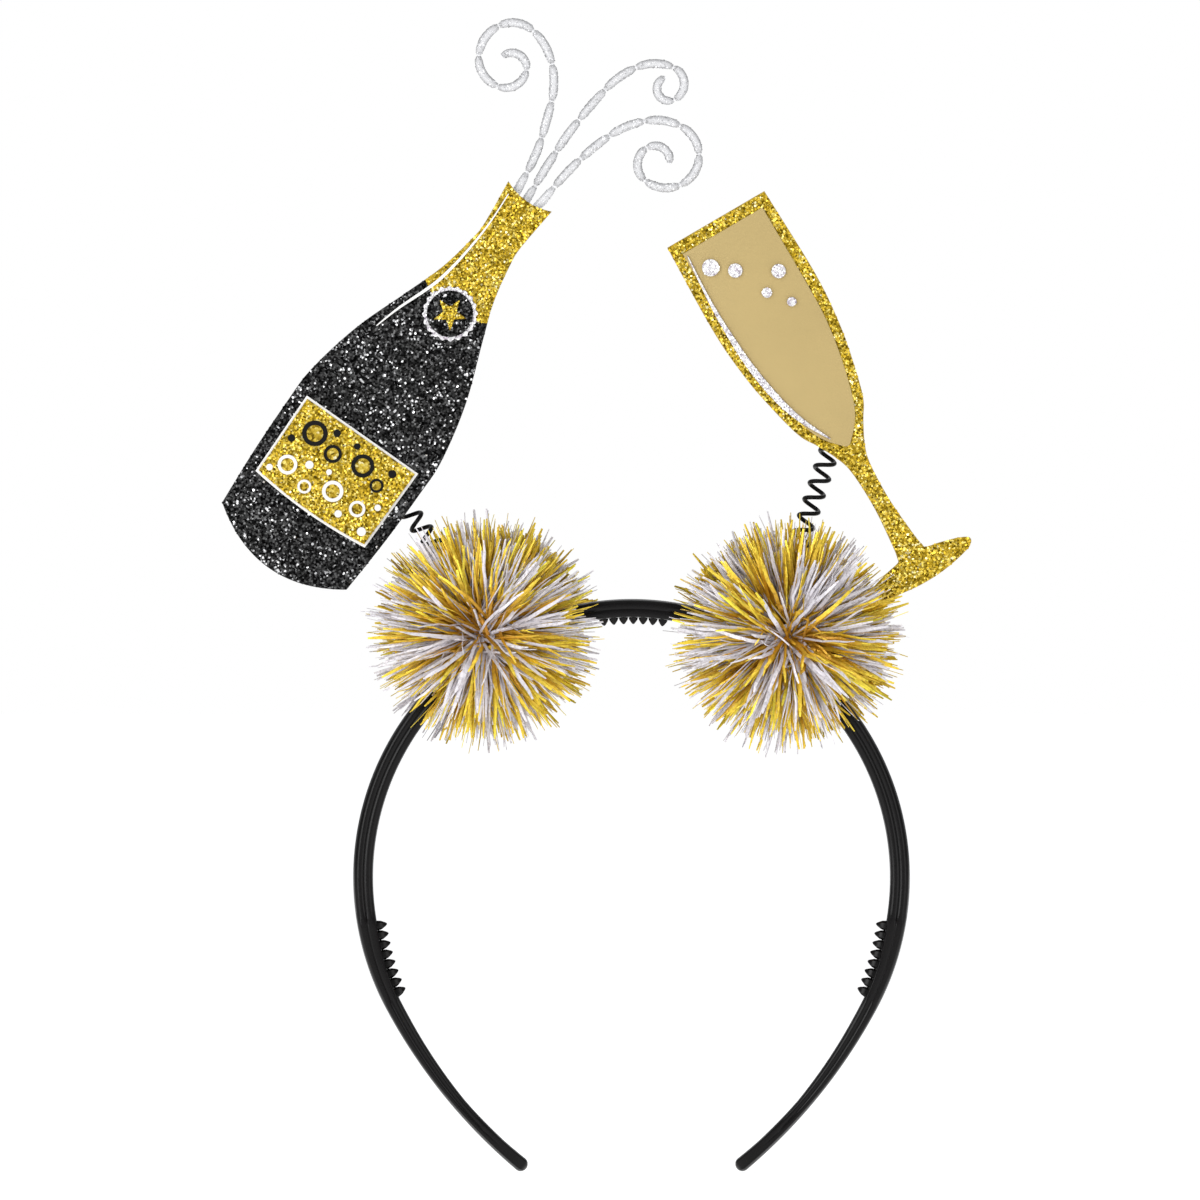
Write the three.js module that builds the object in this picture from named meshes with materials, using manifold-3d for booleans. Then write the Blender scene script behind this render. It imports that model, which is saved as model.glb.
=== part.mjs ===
// New Year head bopper: a comb headband with two tinsel pompoms, and a champagne bottle and a
// champagne glass cut from glitter board, each on a spring. Millimetres, +X to the right as seen
// from the front, +Y to the back, +Z up, with the origin on the inner face of the band's crown.
import * as THREE from "three";
import { mergeVertices } from "three/addons/utils/BufferGeometryUtils.js";
import Module from "manifold-3d";

const wasm = await Module();
wasm.setup();

// Headband: two tangent arcs a side on its outer face, with angles in degrees from the crown.
const CROWN_RADIUS = 67.5;
const LEG_RADIUS = 133;
const ARCS_MEET_AT = 118;
const TIP_AT = 139.8;
const BAND_SECTIONS = [
  { at: 0, thick: 4.5, width: 9, channel: 1 },
  { at: 40, thick: 4.9, width: 9, channel: 1 },
  { at: 100, thick: 4.8, width: 8.6, channel: 1 },
  { at: 120, thick: 3.9, width: 7.8, channel: 0.8 },
  { at: 131, thick: 3.2, width: 7, channel: 0.4 },
  { at: 137, thick: 3.3, width: 6.6, channel: 0 },
  { at: TIP_AT, thick: 3.5, width: 6.4, channel: 0 },
];
const BAND_RIM = 1.6;
const BAND_EDGE = 0.6;
const BAND_SHOULDER = 1.3;
const BAND_FLAT_INSET = 2.9;
const CROWN_STEPS = 30;
const LEG_STEPS = 6;
const TIP_ROUND = [0.5, 0.85, 0.98];

// Combs inside the band: two rows of tapered teeth in each, longer on the legs than at the crown.
const COMBS = [
  { at: -108.4, teeth: 8, reach: 2.4 },
  { at: 0.4, teeth: 7, reach: 1.6 },
  { at: 108.4, teeth: 8, reach: 2.4 },
];
const TOOTH = { pitch: 2.575, root: 1.64, tip: 0.42, sunk: 0.5, rowY: 1.4, sides: 4 };

// Springs: foot on the band in degrees from the crown, lean from upright, length to the holder, where
// round the axis the wire starts, and how far each nods forwards and back.
const SPRINGS = {
  left: { foot: -28.5, lean: -36.5, length: 44, startsAt: 0, nodForward: 20, nodBack: 25 },
  right: { foot: 29.6, lean: 18.1, length: 53.7, startsAt: -147, nodForward: 10, nodBack: 25 },
};
const WIRE_RADIUS = 0.53;
const COIL_RADIUS = 2.17;
const COIL_PITCH = 4.15;
const COIL_SIDES = 5;
const STEPS_PER_TURN = 8;
const FOOT_CLEARANCE = 1.3;
const GAP = 0.3;
const PEG_RADIUS = 1.3;
const PEG_SIDES = 10;
const BOSS = { height: 5, sunk: 1.5 };
const HOLDER = { across: 6.5, along: 8, peg: 5, back: 2.6 };

// Pompoms: a ball of strips round each spring's foot. A slot across its middle stays open where the
// boards swing, and holds strips only in the fans given here, in degrees from the band's normal.
const POMPOM = { radius: 29.2, slot: 9.6, locks: 92, steepest: 0.8, tipSpread: 0.04 };
const POMPOM_AT = { left: { x: -35.8, z: -3.4 }, right: { x: 37.7, z: -4.3 } };
const KNOT = { radius: 21, depth: 13, back: 7.8, sides: 14 };
const KNOT_PROFILE = [[0, 0], [0.58, 0], [0.58, 0.15], [1, 0.15], [0.88, 0.58], [0.48, 0.92], [0, 1]];
const SLOT_FANS = {
  left: [
    { from: -95, to: -40, reach: 22.5 },
    { from: 36, to: 95, reach: 26.5 },
  ],
  right: [{ from: -95, to: -36, reach: 26.5 }],
};
const LOCK_SECTION = [[0.5, -0.4], [0, 0.6], [-0.5, -0.4]];
const LOCK = { rootWidth: 5.5, tipWidth: 2.2, rootThick: 2.6, tipThick: 0.9 };
const COLLAR = { bore: 5, radius: 10.4, height: 4.5, sides: 12 };
const PASSAGE = { from: 5.5, to: 40, across: 4.5, clear: 3.8 };

// Flat work: boards, then card layers with a film of glue between them, front faces to -Y.
const BOARD_BACK = -2.9;
const BOARD_THICK = 2.4;
const GLUE = 0.1;
const LAYER = 0.5;
const FIRST_LAYER = BOARD_BACK - BOARD_THICK - GLUE;
const SECOND_LAYER = FIRST_LAYER - LAYER - GLUE;
const THIRD_LAYER = SECOND_LAYER - LAYER - GLUE;
const FOURTH_LAYER = THIRD_LAYER - LAYER - GLUE;
const OUTLINE_STEPS = 36;
const BOW_STEPS = 10;

// Bottle, in its own upright frame: heights above its heel and half widths.
const BOTTLE = { x: -84.1, z: 17.3, lean: 35.1, baseSag: 6.5, mouthSag: 1.4 };
const BOTTLE_ROWS = [
  { up: 0, half: 18.4 },
  { up: 14.5, half: 19.3 },
  { up: 29, half: 19.6 },
  { up: 38.8, half: 19.3 },
  { up: 53.3, half: 16.2 },
  { up: 67.9, half: 10.9 },
  { up: 77.6, half: 7.5 },
  { up: 87.3, half: 5.6 },
  { up: 92.1, half: 5.3 },
  { up: 103.5, half: 6.4 },
];
const FOIL = { edge: 72, sag: 2.9 };
const LABEL = { top: 33, bottom: 10.9, halfTop: 16.5, halfBottom: 16.2, sag: 1.1, border: 0.6 };
const SEAL = { u: 0.5, up: 69.1, radius: 6.5, scallops: 20, scallop: 0.25, disc: 5.6 };
const STAR = { points: 5, radius: 4.1, inner: 0.42 };
const SCALLOP_STEPS = 3;
const DISC_STEPS = 28;
const BOTTLE_GLINT = {
  half: 0.38,
  path: [[-4.6, 101], [-4.3, 92], [-5, 82.4], [-6.2, 75.1], [-7.7, 70.3], [-10.5, 63], [-12.4, 56.5]],
};

// Spray: wires pinched into dashes, each dash an arc with its own length and turn in degrees.
const DASH = { half: 1, neck: 0.36, sides: 5, behindBoard: 0.2 };
const DASH_SWELL = [0, 0.85, 1, 0.85];
const SPRAY_DEPTH = BOARD_BACK + DASH.behindBoard + DASH.half;
const SPRAYS = {
  spray_left: {
    start: [-2.9, 95.6],
    heading: -2.9,
    dashes: [
      [12.4, -4], [9.1, -11], [9.1, -4], [9.1, -25], [9.4, -35],
      [9, -70], [9, -58], [9.4, -73], [9.2, -103], [8.9, -141],
    ],
  },
  spray_middle: {
    start: [-0.1, 95.5],
    heading: -0.3,
    dashes: [[10.9, -4], [9.8, 2], [9.4, 6], [9.6, 4], [9.3, 23], [9.3, 47], [9.9, 131], [9.6, 189]],
  },
  spray_right: {
    start: [1.9, 96.3],
    heading: 9.6,
    dashes: [
      [12.7, -5], [9.2, 7], [9, 9], [9.2, 23], [8.9, 37],
      [8.7, 61], [9.4, 70], [9, 62], [9.2, 109], [8.5, 134],
    ],
  },
};

// Glass, in its own upright frame: the side from the foot's tip up to the rim.
const GLASS = { x: 70.2, z: 11.2, lean: -30.3, footSag: 1.95 };
const GLASS_ROWS = [
  { up: -0.85, half: 12.8 },
  { up: 0.25, half: 14.15 },
  { up: 1.5, half: 13.95 },
  { up: 2.7, half: 11.4 },
  { up: 3.85, half: 7.3 },
  { up: 4.6, half: 4 },
  { up: 5.6, half: 3.45 },
  { up: 9, half: 2.9 },
  { up: 19.4, half: 2.1 },
  { up: 29.1, half: 2.5 },
  { up: 33.9, half: 3.9 },
  { up: 38.8, half: 6.4 },
  { up: 43.6, half: 9.1 },
  { up: 53.3, half: 11.6 },
  { up: 63, half: 13.3 },
  { up: 76, half: 14.2 },
  { up: 98.7, half: 13.6 },
];
const WINE_ROWS = [
  { up: 34.7, half: 0 },
  { up: 38.8, half: 3.9 },
  { up: 43.6, half: 6.5 },
  { up: 53.3, half: 9.1 },
  { up: 63, half: 10.7 },
  { up: 72.7, half: 11.2 },
  { up: 95.5, half: 11.2 },
];
const WINE_SAG = 0.6;
const BUBBLES = [
  { u: -7, up: 89.2, radius: 2.1 },
  { u: -2.2, up: 85.6, radius: 1.75 },
  { u: 6.8, up: 80.2, radius: 1.75 },
  { u: 1.7, up: 77.1, radius: 1.25 },
  { u: 5.8, up: 72.2, radius: 1.15 },
];
const BUBBLE_STEPS = 12;
const GLASS_GLINT = {
  half: 0.85,
  path: [[-10.4, 94.5], [-11.3, 82.4], [-11.3, 72.7], [-10.7, 63], [-9, 53.3], [-6.6, 46], [-2.9, 38.8]],
};
const GLINT_STEPS = 14;
const GLINT_TIP = 0.12;
const GLINT_LEAN = 1.25;

// Finishes as seen on the object.
const FINISHES = {
  bandPlastic: { color: 0x17171a, roughness: 0.35, metalness: 0 },
  springWire: { color: 0x101012, roughness: 0.4, metalness: 0.6 },
  tinsel: { color: 0xd8b44a, roughness: 0.35, metalness: 0.7 },
  holderPlastic: { color: 0x1a1a1c, roughness: 0.5, metalness: 0 },
  blackGlitter: { color: 0x161616, roughness: 0.6, metalness: 0.2 },
  goldGlitter: { color: 0xd4a017, roughness: 0.4, metalness: 0.8 },
  silverGlitter: { color: 0xe4e4e7, roughness: 0.4, metalness: 0.5 },
  whiteCard: { color: 0xf4f2ec, roughness: 0.7, metalness: 0 },
  wineCard: { color: 0xd2b774, roughness: 0.7, metalness: 0 },
};

const WELD = 1e-4;
const Y_AXIS = new THREE.Vector3(0, 1, 0);
const radians = THREE.MathUtils.degToRad;

// Joins shared corners, drops flat triangles at poles and turns the faces outwards.
function weld(geometry) {
  const bare = geometry.clone();
  bare.deleteAttribute("normal");
  bare.deleteAttribute("uv");
  const merged = mergeVertices(bare, WELD);
  const all = Array.from(merged.index.array);
  const kept = [];
  const [a, b, c] = [new THREE.Vector3(), new THREE.Vector3(), new THREE.Vector3()];
  let volume = 0;
  for (let i = 0; i < all.length; i += 3) {
    const corners = all.slice(i, i + 3);
    if (new Set(corners).size === 3) {
      kept.push(...corners);
      [a, b, c].forEach((p, k) => p.fromBufferAttribute(merged.attributes.position, corners[k]));
      volume += a.dot(b.cross(c));
    }
  }
  merged.setIndex(volume < 0 ? kept.reverse() : kept);
  return merged;
}

function toSolid(geometry) {
  const welded = weld(geometry);
  const vertProperties = new Float32Array(welded.attributes.position.array);
  const triVerts = new Uint32Array(welded.index.array);
  return new wasm.Manifold(new wasm.Mesh({ numProp: 3, vertProperties, triVerts }));
}

function toGeometry(solid) {
  const mesh = solid.getMesh();
  const geometry = new THREE.BufferGeometry();
  geometry.setAttribute("position", new THREE.BufferAttribute(new Float32Array(mesh.vertProperties), 3));
  geometry.setIndex(Array.from(mesh.triVerts));
  return geometry;
}

function fuse(geometries) {
  return toGeometry(geometries.map(toSolid).reduce((whole, piece) => whole.add(piece)));
}

// Skins a row of rings that have equally many points, and closes both ends with a fan.
function loft(rings) {
  const count = rings[0].length;
  const points = rings.flat();
  const index = [];
  for (let r = 0; r + 1 < rings.length; r += 1) {
    for (let k = 0; k < count; k += 1) {
      const here = r * count + k;
      const next = r * count + ((k + 1) % count);
      index.push(here, next, here + count, next, next + count, here + count);
    }
  }
  const last = (rings.length - 1) * count;
  for (let k = 1; k + 1 < count; k += 1) {
    index.push(0, k + 1, k, last, last + k, last + k + 1);
  }
  const geometry = new THREE.BufferGeometry().setFromPoints(points);
  geometry.setIndex(index);
  return weld(geometry);
}

// Stands a shape made along +Y on a point, with its own Y turned to the given direction.
function stand(geometry, point, direction) {
  geometry.applyQuaternion(new THREE.Quaternion().setFromUnitVectors(Y_AXIS, direction));
  return geometry.translate(point.x, point.y, point.z);
}

function peg(rootRadius, tipRadius, length, sides) {
  return new THREE.CylinderGeometry(tipRadius, rootRadius, length, sides).translate(0, length / 2, 0);
}

function addPiece(parent, name, geometry, finish) {
  const material = new THREE.MeshStandardMaterial({ ...FINISHES[finish], flatShading: true });
  const piece = new THREE.Mesh(geometry, material);
  piece.name = name;
  parent.add(piece);
}

// Point on the band's outer face and the direction away from the head there.
function bandPlace(at) {
  const side = at < 0 ? -1 : 1;
  const turn = (degrees) => new THREE.Vector3(Math.sin(radians(degrees)), 0, Math.cos(radians(degrees)));
  const angle = Math.abs(at);
  const out = turn(angle);
  const crownTop = BAND_SECTIONS[0].thick;
  const outer = new THREE.Vector3(0, 0, crownTop - CROWN_RADIUS);
  if (angle > ARCS_MEET_AT) {
    outer.addScaledVector(turn(ARCS_MEET_AT), CROWN_RADIUS - LEG_RADIUS);
    outer.addScaledVector(out, LEG_RADIUS);
  } else {
    outer.addScaledVector(out, CROWN_RADIUS);
  }
  outer.x *= side;
  out.x *= side;
  return { outer, out };
}

// Thickness, width and channel depth at an angle, by straight steps between the table's rows.
function bandSize(at) {
  const angle = Math.min(Math.abs(at), TIP_AT);
  const k = Math.max(1, BAND_SECTIONS.findIndex((row) => row.at >= angle));
  const [low, high] = [BAND_SECTIONS[k - 1], BAND_SECTIONS[k]];
  const share = (angle - low.at) / (high.at - low.at);
  const mix = (key) => THREE.MathUtils.lerp(low[key], high[key], share);
  return { thick: mix("thick"), width: mix("width"), channel: mix("channel") };
}

// One section of the band: rounded edges, a domed outer face and a channel between two rims inside.
function bandRing(at, shrink = 1, beyond = 0) {
  const { outer, out } = bandPlace(at);
  const { thick, width, channel } = bandSize(at);
  const half = width / 2;
  const along = out.clone().cross(Y_AXIS).multiplyScalar(at < 0 ? 1 : -1);
  const front = [
    [0, BAND_EDGE - half],
    [0, BAND_RIM - half],
    [channel, BAND_RIM + BAND_EDGE / 2 - half],
  ];
  const domed = [
    [thick, BAND_FLAT_INSET - half],
    [thick - BAND_EDGE / 2, BAND_EDGE * 1.5 - half],
    [thick - BAND_SHOULDER, -half],
    [BAND_EDGE, -half],
  ];
  const mirror = (rows) => rows.map(([rise, y]) => [rise, -y]).reverse();
  return [...front, ...mirror(front), ...mirror(domed), ...domed].map(([rise, y]) => {
    const height = (rise - thick / 2) * shrink - thick / 2;
    return outer.clone().addScaledVector(out, height).addScaledVector(Y_AXIS, y * shrink)
      .addScaledVector(along, beyond);
  });
}

function bandStations() {
  const stations = [];
  const step = (TIP_AT - ARCS_MEET_AT) / LEG_STEPS;
  for (let k = 0; k < LEG_STEPS; k += 1) stations.push(-TIP_AT + step * k);
  for (let k = 0; k <= CROWN_STEPS; k += 1) stations.push(ARCS_MEET_AT * ((2 * k) / CROWN_STEPS - 1));
  for (let k = 1; k <= LEG_STEPS; k += 1) stations.push(ARCS_MEET_AT + step * k);
  return stations;
}

function bandShell() {
  const tipRadius = bandSize(TIP_AT).thick / 2;
  const cap = (at) => TIP_ROUND.map((share) => bandRing(at, Math.sqrt(1 - share * share), share * tipRadius));
  const rings = bandStations().map((at) => bandRing(at));
  return loft([...cap(-TIP_AT).reverse(), ...rings, ...cap(TIP_AT)]);
}

function combTeeth() {
  const teeth = [];
  for (const { at: middle, teeth: count, reach } of COMBS) {
    for (let k = 0; k < count; k += 1) {
      const shift = (k - (count - 1) / 2) * TOOTH.pitch;
      const at = middle + THREE.MathUtils.radToDeg(shift / CROWN_RADIUS);
      const { outer, out } = bandPlace(at);
      const { thick, channel } = bandSize(at);
      const length = TOOTH.sunk + channel + reach;
      for (const y of [-TOOTH.rowY, TOOTH.rowY]) {
        const root = outer.clone().addScaledVector(out, channel + TOOTH.sunk - thick).setY(y);
        const spike = peg(TOOTH.root, TOOTH.tip, length, TOOTH.sides).rotateY(Math.PI / TOOTH.sides);
        teeth.push(stand(spike, root, out.clone().negate()));
      }
    }
  }
  return teeth;
}

function springAxis(spring) {
  const lean = radians(spring.lean);
  return new THREE.Vector3(Math.sin(lean), 0, Math.cos(lean));
}

function springBosses() {
  return Object.values(SPRINGS).map((spring) => {
    const axis = springAxis(spring);
    const root = bandPlace(spring.foot).outer.addScaledVector(axis, -BOSS.sunk);
    return stand(peg(PEG_RADIUS, PEG_RADIUS, BOSS.height + BOSS.sunk, PEG_SIDES), root, axis);
  });
}

// A coil of wire round an axis that lies in the plane y = 0.
class Coil extends THREE.Curve {
  constructor(foot, axis, start, end, startsAt) {
    super();
    Object.assign(this, { foot, axis, start, end, startsAt });
    this.side = new THREE.Vector3().crossVectors(Y_AXIS, axis);
    this.turns = (end - start) / COIL_PITCH;
  }

  getPoint(t, target = new THREE.Vector3()) {
    const angle = radians(this.startsAt) + 2 * Math.PI * this.turns * t;
    return target.copy(this.foot)
      .addScaledVector(this.axis, THREE.MathUtils.lerp(this.start, this.end, t))
      .addScaledVector(this.side, COIL_RADIUS * Math.cos(angle))
      .addScaledVector(Y_AXIS, COIL_RADIUS * Math.sin(angle));
  }
}

function circle(radius, count) {
  return Array.from({ length: count }, (_, k) => {
    const angle = (2 * Math.PI * k) / count;
    return new THREE.Vector2(radius * Math.cos(angle), radius * Math.sin(angle));
  });
}

function springWire(spring) {
  const foot = bandPlace(spring.foot).outer;
  const end = spring.length - GAP - WIRE_RADIUS;
  const coil = new Coil(foot, springAxis(spring), FOOT_CLEARANCE, end, spring.startsAt);
  const section = new THREE.Shape(circle(WIRE_RADIUS, COIL_SIDES));
  const steps = Math.round(coil.turns * STEPS_PER_TURN);
  return weld(new THREE.ExtrudeGeometry(section, { steps, extrudePath: coil }));
}

// Block glued behind a board, with a peg down into the top coils of its spring.
function springHolder(spring) {
  const axis = springAxis(spring);
  const seat = bandPlace(spring.foot).outer.addScaledVector(axis, spring.length);
  const front = BOARD_BACK + GLUE;
  const depth = HOLDER.back - front;
  const block = new THREE.BoxGeometry(HOLDER.across, HOLDER.along, depth);
  block.translate(0, HOLDER.along / 2, 0);
  block.rotateZ(-radians(spring.lean));
  block.rotateX(Math.PI / 2);
  block.translate(seat.x, front + depth / 2, seat.z);
  const overlap = HOLDER.along / 2;
  const pegTop = seat.clone().addScaledVector(axis, overlap);
  const post = peg(PEG_RADIUS, PEG_RADIUS, HOLDER.peg + overlap, PEG_SIDES);
  return fuse([block, stand(post, pegTop, axis.negate())]);
}

// One strip of tinsel: a three-sided blade that tapers to its tip.
function lock(root, tip) {
  const along = tip.clone().sub(root).normalize();
  const across = new THREE.Vector3().crossVectors(along, Y_AXIS).normalize();
  const thick = new THREE.Vector3().crossVectors(across, along);
  const blade = (middle, width, depth) => LOCK_SECTION.map(([u, w]) =>
    middle.clone().addScaledVector(across, u * width).addScaledVector(thick, w * depth));
  return loft([blade(root, LOCK.rootWidth, LOCK.rootThick), blade(tip, LOCK.tipWidth, LOCK.tipThick)]);
}

// Ring tied round the foot of a spring, which carries the strips.
function pompomCollar({ outer, out }) {
  const { bore, radius, height, sides } = COLLAR;
  const corners = [[bore, 0], [radius, 0], [radius, height], [bore, height], [bore, 0]];
  const ring = new THREE.LatheGeometry(corners.map(([r, h]) => new THREE.Vector2(r, h)), sides);
  return stand(ring, outer.clone().addScaledVector(out, GAP), out);
}

// Rounded knot of a tuft, flat towards the band.
function pompomKnot(middle, face) {
  const { radius, depth, back, sides } = KNOT;
  const corners = KNOT_PROFILE.map(([r, h]) => new THREE.Vector2(r * radius, h * depth));
  const knot = new THREE.LatheGeometry(corners, sides);
  return stand(knot, middle.clone().setY(face * back), new THREE.Vector3(0, face, 0));
}

// How far to the front and to the back a nodding spring reaches at a height above its foot.
function nodReach(spring, height) {
  const lean = (degrees) => height * Math.tan(radians(degrees)) + PASSAGE.clear;
  return { front: -lean(spring.nodForward), back: lean(spring.nodBack) };
}

// Wedge above a spring's foot that stays open for its nod.
function springPassage(spring) {
  const foot = bandPlace(spring.foot).outer;
  const axis = springAxis(spring);
  const side = new THREE.Vector3().crossVectors(Y_AXIS, axis).multiplyScalar(PASSAGE.across);
  return loft([PASSAGE.from, PASSAGE.to].map((height) => {
    const { front, back } = nodReach(spring, height);
    const middle = foot.clone().addScaledVector(axis, height);
    return [[1, front], [1, back], [-1, back], [-1, front]].map(([turn, y]) =>
      middle.clone().addScaledVector(side, turn).setY(y));
  }));
}

// Moves the tip of a strip that stands in a spring's way to the front or the back of the wedge.
function clearOfSpring(tip, spring) {
  const from = tip.clone().sub(bandPlace(spring.foot).outer);
  const height = from.dot(springAxis(spring));
  const aside = Math.abs(from.cross(springAxis(spring)).y);
  if (height > 0 && aside < PASSAGE.across + LOCK.tipWidth / 2) {
    const { front, back } = nodReach(spring, height);
    tip.y = tip.y < 0 ? Math.min(tip.y, front) : Math.max(tip.y, back);
  }
  return tip;
}

// Front and back tufts on a collar, with tips spread evenly over a ball, and fans in the slot between.
function pompom(name) {
  const place = bandPlace(SPRINGS[name].foot);
  const tangent = new THREE.Vector3().crossVectors(Y_AXIS, place.out);
  const middle = new THREE.Vector3(POMPOM_AT[name].x, 0, POMPOM_AT[name].z);
  const passage = toSolid(springPassage(SPRINGS[name]));
  const knots = [-1, 1].map((face) => toGeometry(toSolid(pompomKnot(middle, face)).subtract(passage)));
  const pieces = [pompomCollar(place), ...knots];
  const golden = Math.PI * (3 - Math.sqrt(5));
  for (let k = 0; k < POMPOM.locks; k += 1) {
    const share = POMPOM.steepest * (1 - (2 * k + 1) / POMPOM.locks);
    const rim = Math.sqrt(1 - share * share);
    const ray = new THREE.Vector3(rim * Math.cos(golden * k), share, rim * Math.sin(golden * k));
    const spread = 1 - POMPOM.tipSpread * (1 + Math.sin(k));
    if (Math.abs(share) * POMPOM.radius > POMPOM.slot) {
      const root = middle.clone().setY(Math.sign(share) * (POMPOM.slot + LOCK.rootThick / 2));
      const tip = ray.multiplyScalar(POMPOM.radius * spread).add(middle);
      pieces.push(lock(root, clearOfSpring(tip, SPRINGS[name])));
    } else {
      const turn = THREE.MathUtils.radToDeg(Math.atan2(ray.dot(tangent), ray.dot(place.out)));
      const fan = SLOT_FANS[name].find(({ from, to }) => turn > from && turn < to);
      if (fan) {
        const root = place.outer.clone().addScaledVector(place.out, COLLAR.height / 2 + GAP);
        root.addScaledVector(tangent, (Math.sign(turn) * (COLLAR.bore + COLLAR.radius)) / 2);
        pieces.push(lock(root, ray.multiplyScalar(fan.reach * spread).add(middle)));
      }
    }
  }
  return fuse(pieces);
}

// Points between two places on a shallow arc that rises by the given amount halfway.
function bow(from, to, rise) {
  return Array.from({ length: BOW_STEPS - 1 }, (_, k) => {
    const t = (k + 1) / BOW_STEPS;
    const point = from.clone().lerp(to, t);
    point.y += rise * 4 * t * (1 - t);
    return point;
  });
}

function sideCurve(rows) {
  return new THREE.SplineCurve(rows.map((row) => new THREE.Vector2(row.half, row.up)));
}

function mirrored(points) {
  return points.map((p) => new THREE.Vector2(-p.x, p.y)).reverse();
}

// Closed outline from a right side, its mirror image, and arcs across the bottom and the top.
function outlineOf(right, bottomRise, topRise) {
  const left = mirrored(right);
  const bottom = bow(left[left.length - 1], right[0], bottomRise);
  const top = bow(right[right.length - 1], left[0], topRise);
  return [...right, ...top, ...left, ...bottom];
}

// A flat piece cut to an outline, from its back plane forwards.
function flat(outline, back, thick = LAYER) {
  const geometry = new THREE.ExtrudeGeometry(new THREE.Shape(outline), { depth: thick, bevelEnabled: false });
  geometry.rotateX(Math.PI / 2);
  return weld(geometry.translate(0, back, 0));
}

function discAt(u, up, radius, steps) {
  return circle(radius, steps).map((p) => p.add(new THREE.Vector2(u, up)));
}

function labelOutline(inset) {
  const right = [
    new THREE.Vector2(LABEL.halfBottom - inset, LABEL.bottom + inset),
    new THREE.Vector2(LABEL.halfTop - inset, LABEL.top - inset),
  ];
  return outlineOf(right, -LABEL.sag, 0);
}

function scallopOutline() {
  const count = SEAL.scallops * SCALLOP_STEPS;
  return circle(1, count).map((p, k) => {
    const radius = SEAL.radius + SEAL.scallop * Math.cos((2 * Math.PI * k) / SCALLOP_STEPS);
    return p.multiplyScalar(radius).add(new THREE.Vector2(SEAL.u, SEAL.up));
  });
}

function starOutline() {
  return circle(1, 2 * STAR.points).map((p, k) => {
    const radius = k % 2 === 0 ? STAR.radius : STAR.radius * STAR.inner;
    p.rotateAround(new THREE.Vector2(), Math.PI / 2);
    return p.multiplyScalar(radius).add(new THREE.Vector2(SEAL.u, SEAL.up));
  });
}

// A strip along a curve, widest past its middle and pointed at both ends.
function glintOutline({ path, half }) {
  const curve = new THREE.SplineCurve(path.map(([u, up]) => new THREE.Vector2(u, up)));
  const edge = (sign) => Array.from({ length: GLINT_STEPS + 1 }, (_, k) => {
    const t = k / GLINT_STEPS;
    const along = curve.getTangent(t);
    const reach = sign * (GLINT_TIP + (half - GLINT_TIP) * Math.sin(Math.PI * t ** GLINT_LEAN));
    return curve.getPoint(t).add(new THREE.Vector2(-along.y, along.x).multiplyScalar(reach));
  });
  return [...edge(1), ...edge(-1).reverse()];
}

// A wire that swells and narrows dash by dash, each dash turning evenly by its own angle.
function sprayWire({ start, heading, dashes }) {
  const place = new THREE.Vector3(start[0], SPRAY_DEPTH, start[1]);
  let angle = radians(heading);
  const rings = [];
  const addRing = (swell) => {
    const across = new THREE.Vector3(Math.cos(angle), 0, -Math.sin(angle));
    const radius = THREE.MathUtils.lerp(DASH.neck, DASH.half, swell);
    rings.push(circle(radius, DASH.sides).map((p) => place.clone().addScaledVector(across, p.x)
      .addScaledVector(Y_AXIS, p.y)));
  };
  for (const [length, turn] of dashes) {
    const step = length / DASH_SWELL.length;
    const bend = radians(turn) / DASH_SWELL.length;
    for (const swell of DASH_SWELL) {
      addRing(swell);
      const middle = angle + bend / 2;
      place.addScaledVector(new THREE.Vector3(Math.sin(middle), 0, Math.cos(middle)), step);
      angle += bend;
    }
  }
  addRing(0);
  return loft(rings);
}

const bopper = new THREE.Group();
addPiece(bopper, "headband", fuse([bandShell(), ...combTeeth(), ...springBosses()]), "bandPlastic");
for (const name of ["left", "right"]) {
  addPiece(bopper, `spring_${name}`, springWire(SPRINGS[name]), "springWire");
  addPiece(bopper, `pompom_${name}`, pompom(name), "tinsel");
}
addPiece(bopper, "bottle_holder", springHolder(SPRINGS.left), "holderPlastic");
addPiece(bopper, "glass_holder", springHolder(SPRINGS.right), "holderPlastic");

const bottle = new THREE.Group();
bottle.position.set(BOTTLE.x, 0, BOTTLE.z);
bottle.rotation.y = radians(BOTTLE.lean);
bopper.add(bottle);
const bottleSide = sideCurve(BOTTLE_ROWS).getPoints(OUTLINE_STEPS);
const bottleOutline = outlineOf(bottleSide, -BOTTLE.baseSag, -BOTTLE.mouthSag);
const foilOutline = outlineOf(bottleSide.filter((p) => p.y > FOIL.edge), -FOIL.sag, -BOTTLE.mouthSag);
const sealDisc = discAt(SEAL.u, SEAL.up, SEAL.disc, DISC_STEPS);
addPiece(bottle, "bottle_board", flat(bottleOutline, BOARD_BACK, BOARD_THICK), "blackGlitter");
addPiece(bottle, "neck_foil", flat(foilOutline, FIRST_LAYER), "goldGlitter");
addPiece(bottle, "label_border", flat(labelOutline(0), FIRST_LAYER), "whiteCard");
addPiece(bottle, "label_panel", flat(labelOutline(LABEL.border), SECOND_LAYER), "goldGlitter");
addPiece(bottle, "seal_scallop", flat(scallopOutline(), SECOND_LAYER), "silverGlitter");
addPiece(bottle, "seal_disc", flat(sealDisc, THIRD_LAYER), "blackGlitter");
addPiece(bottle, "seal_star", flat(starOutline(), FOURTH_LAYER), "goldGlitter");
addPiece(bottle, "shoulder_glint", flat(glintOutline(BOTTLE_GLINT), SECOND_LAYER), "whiteCard");
for (const [name, spray] of Object.entries(SPRAYS)) {
  addPiece(bottle, name, sprayWire(spray), "silverGlitter");
}

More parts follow.
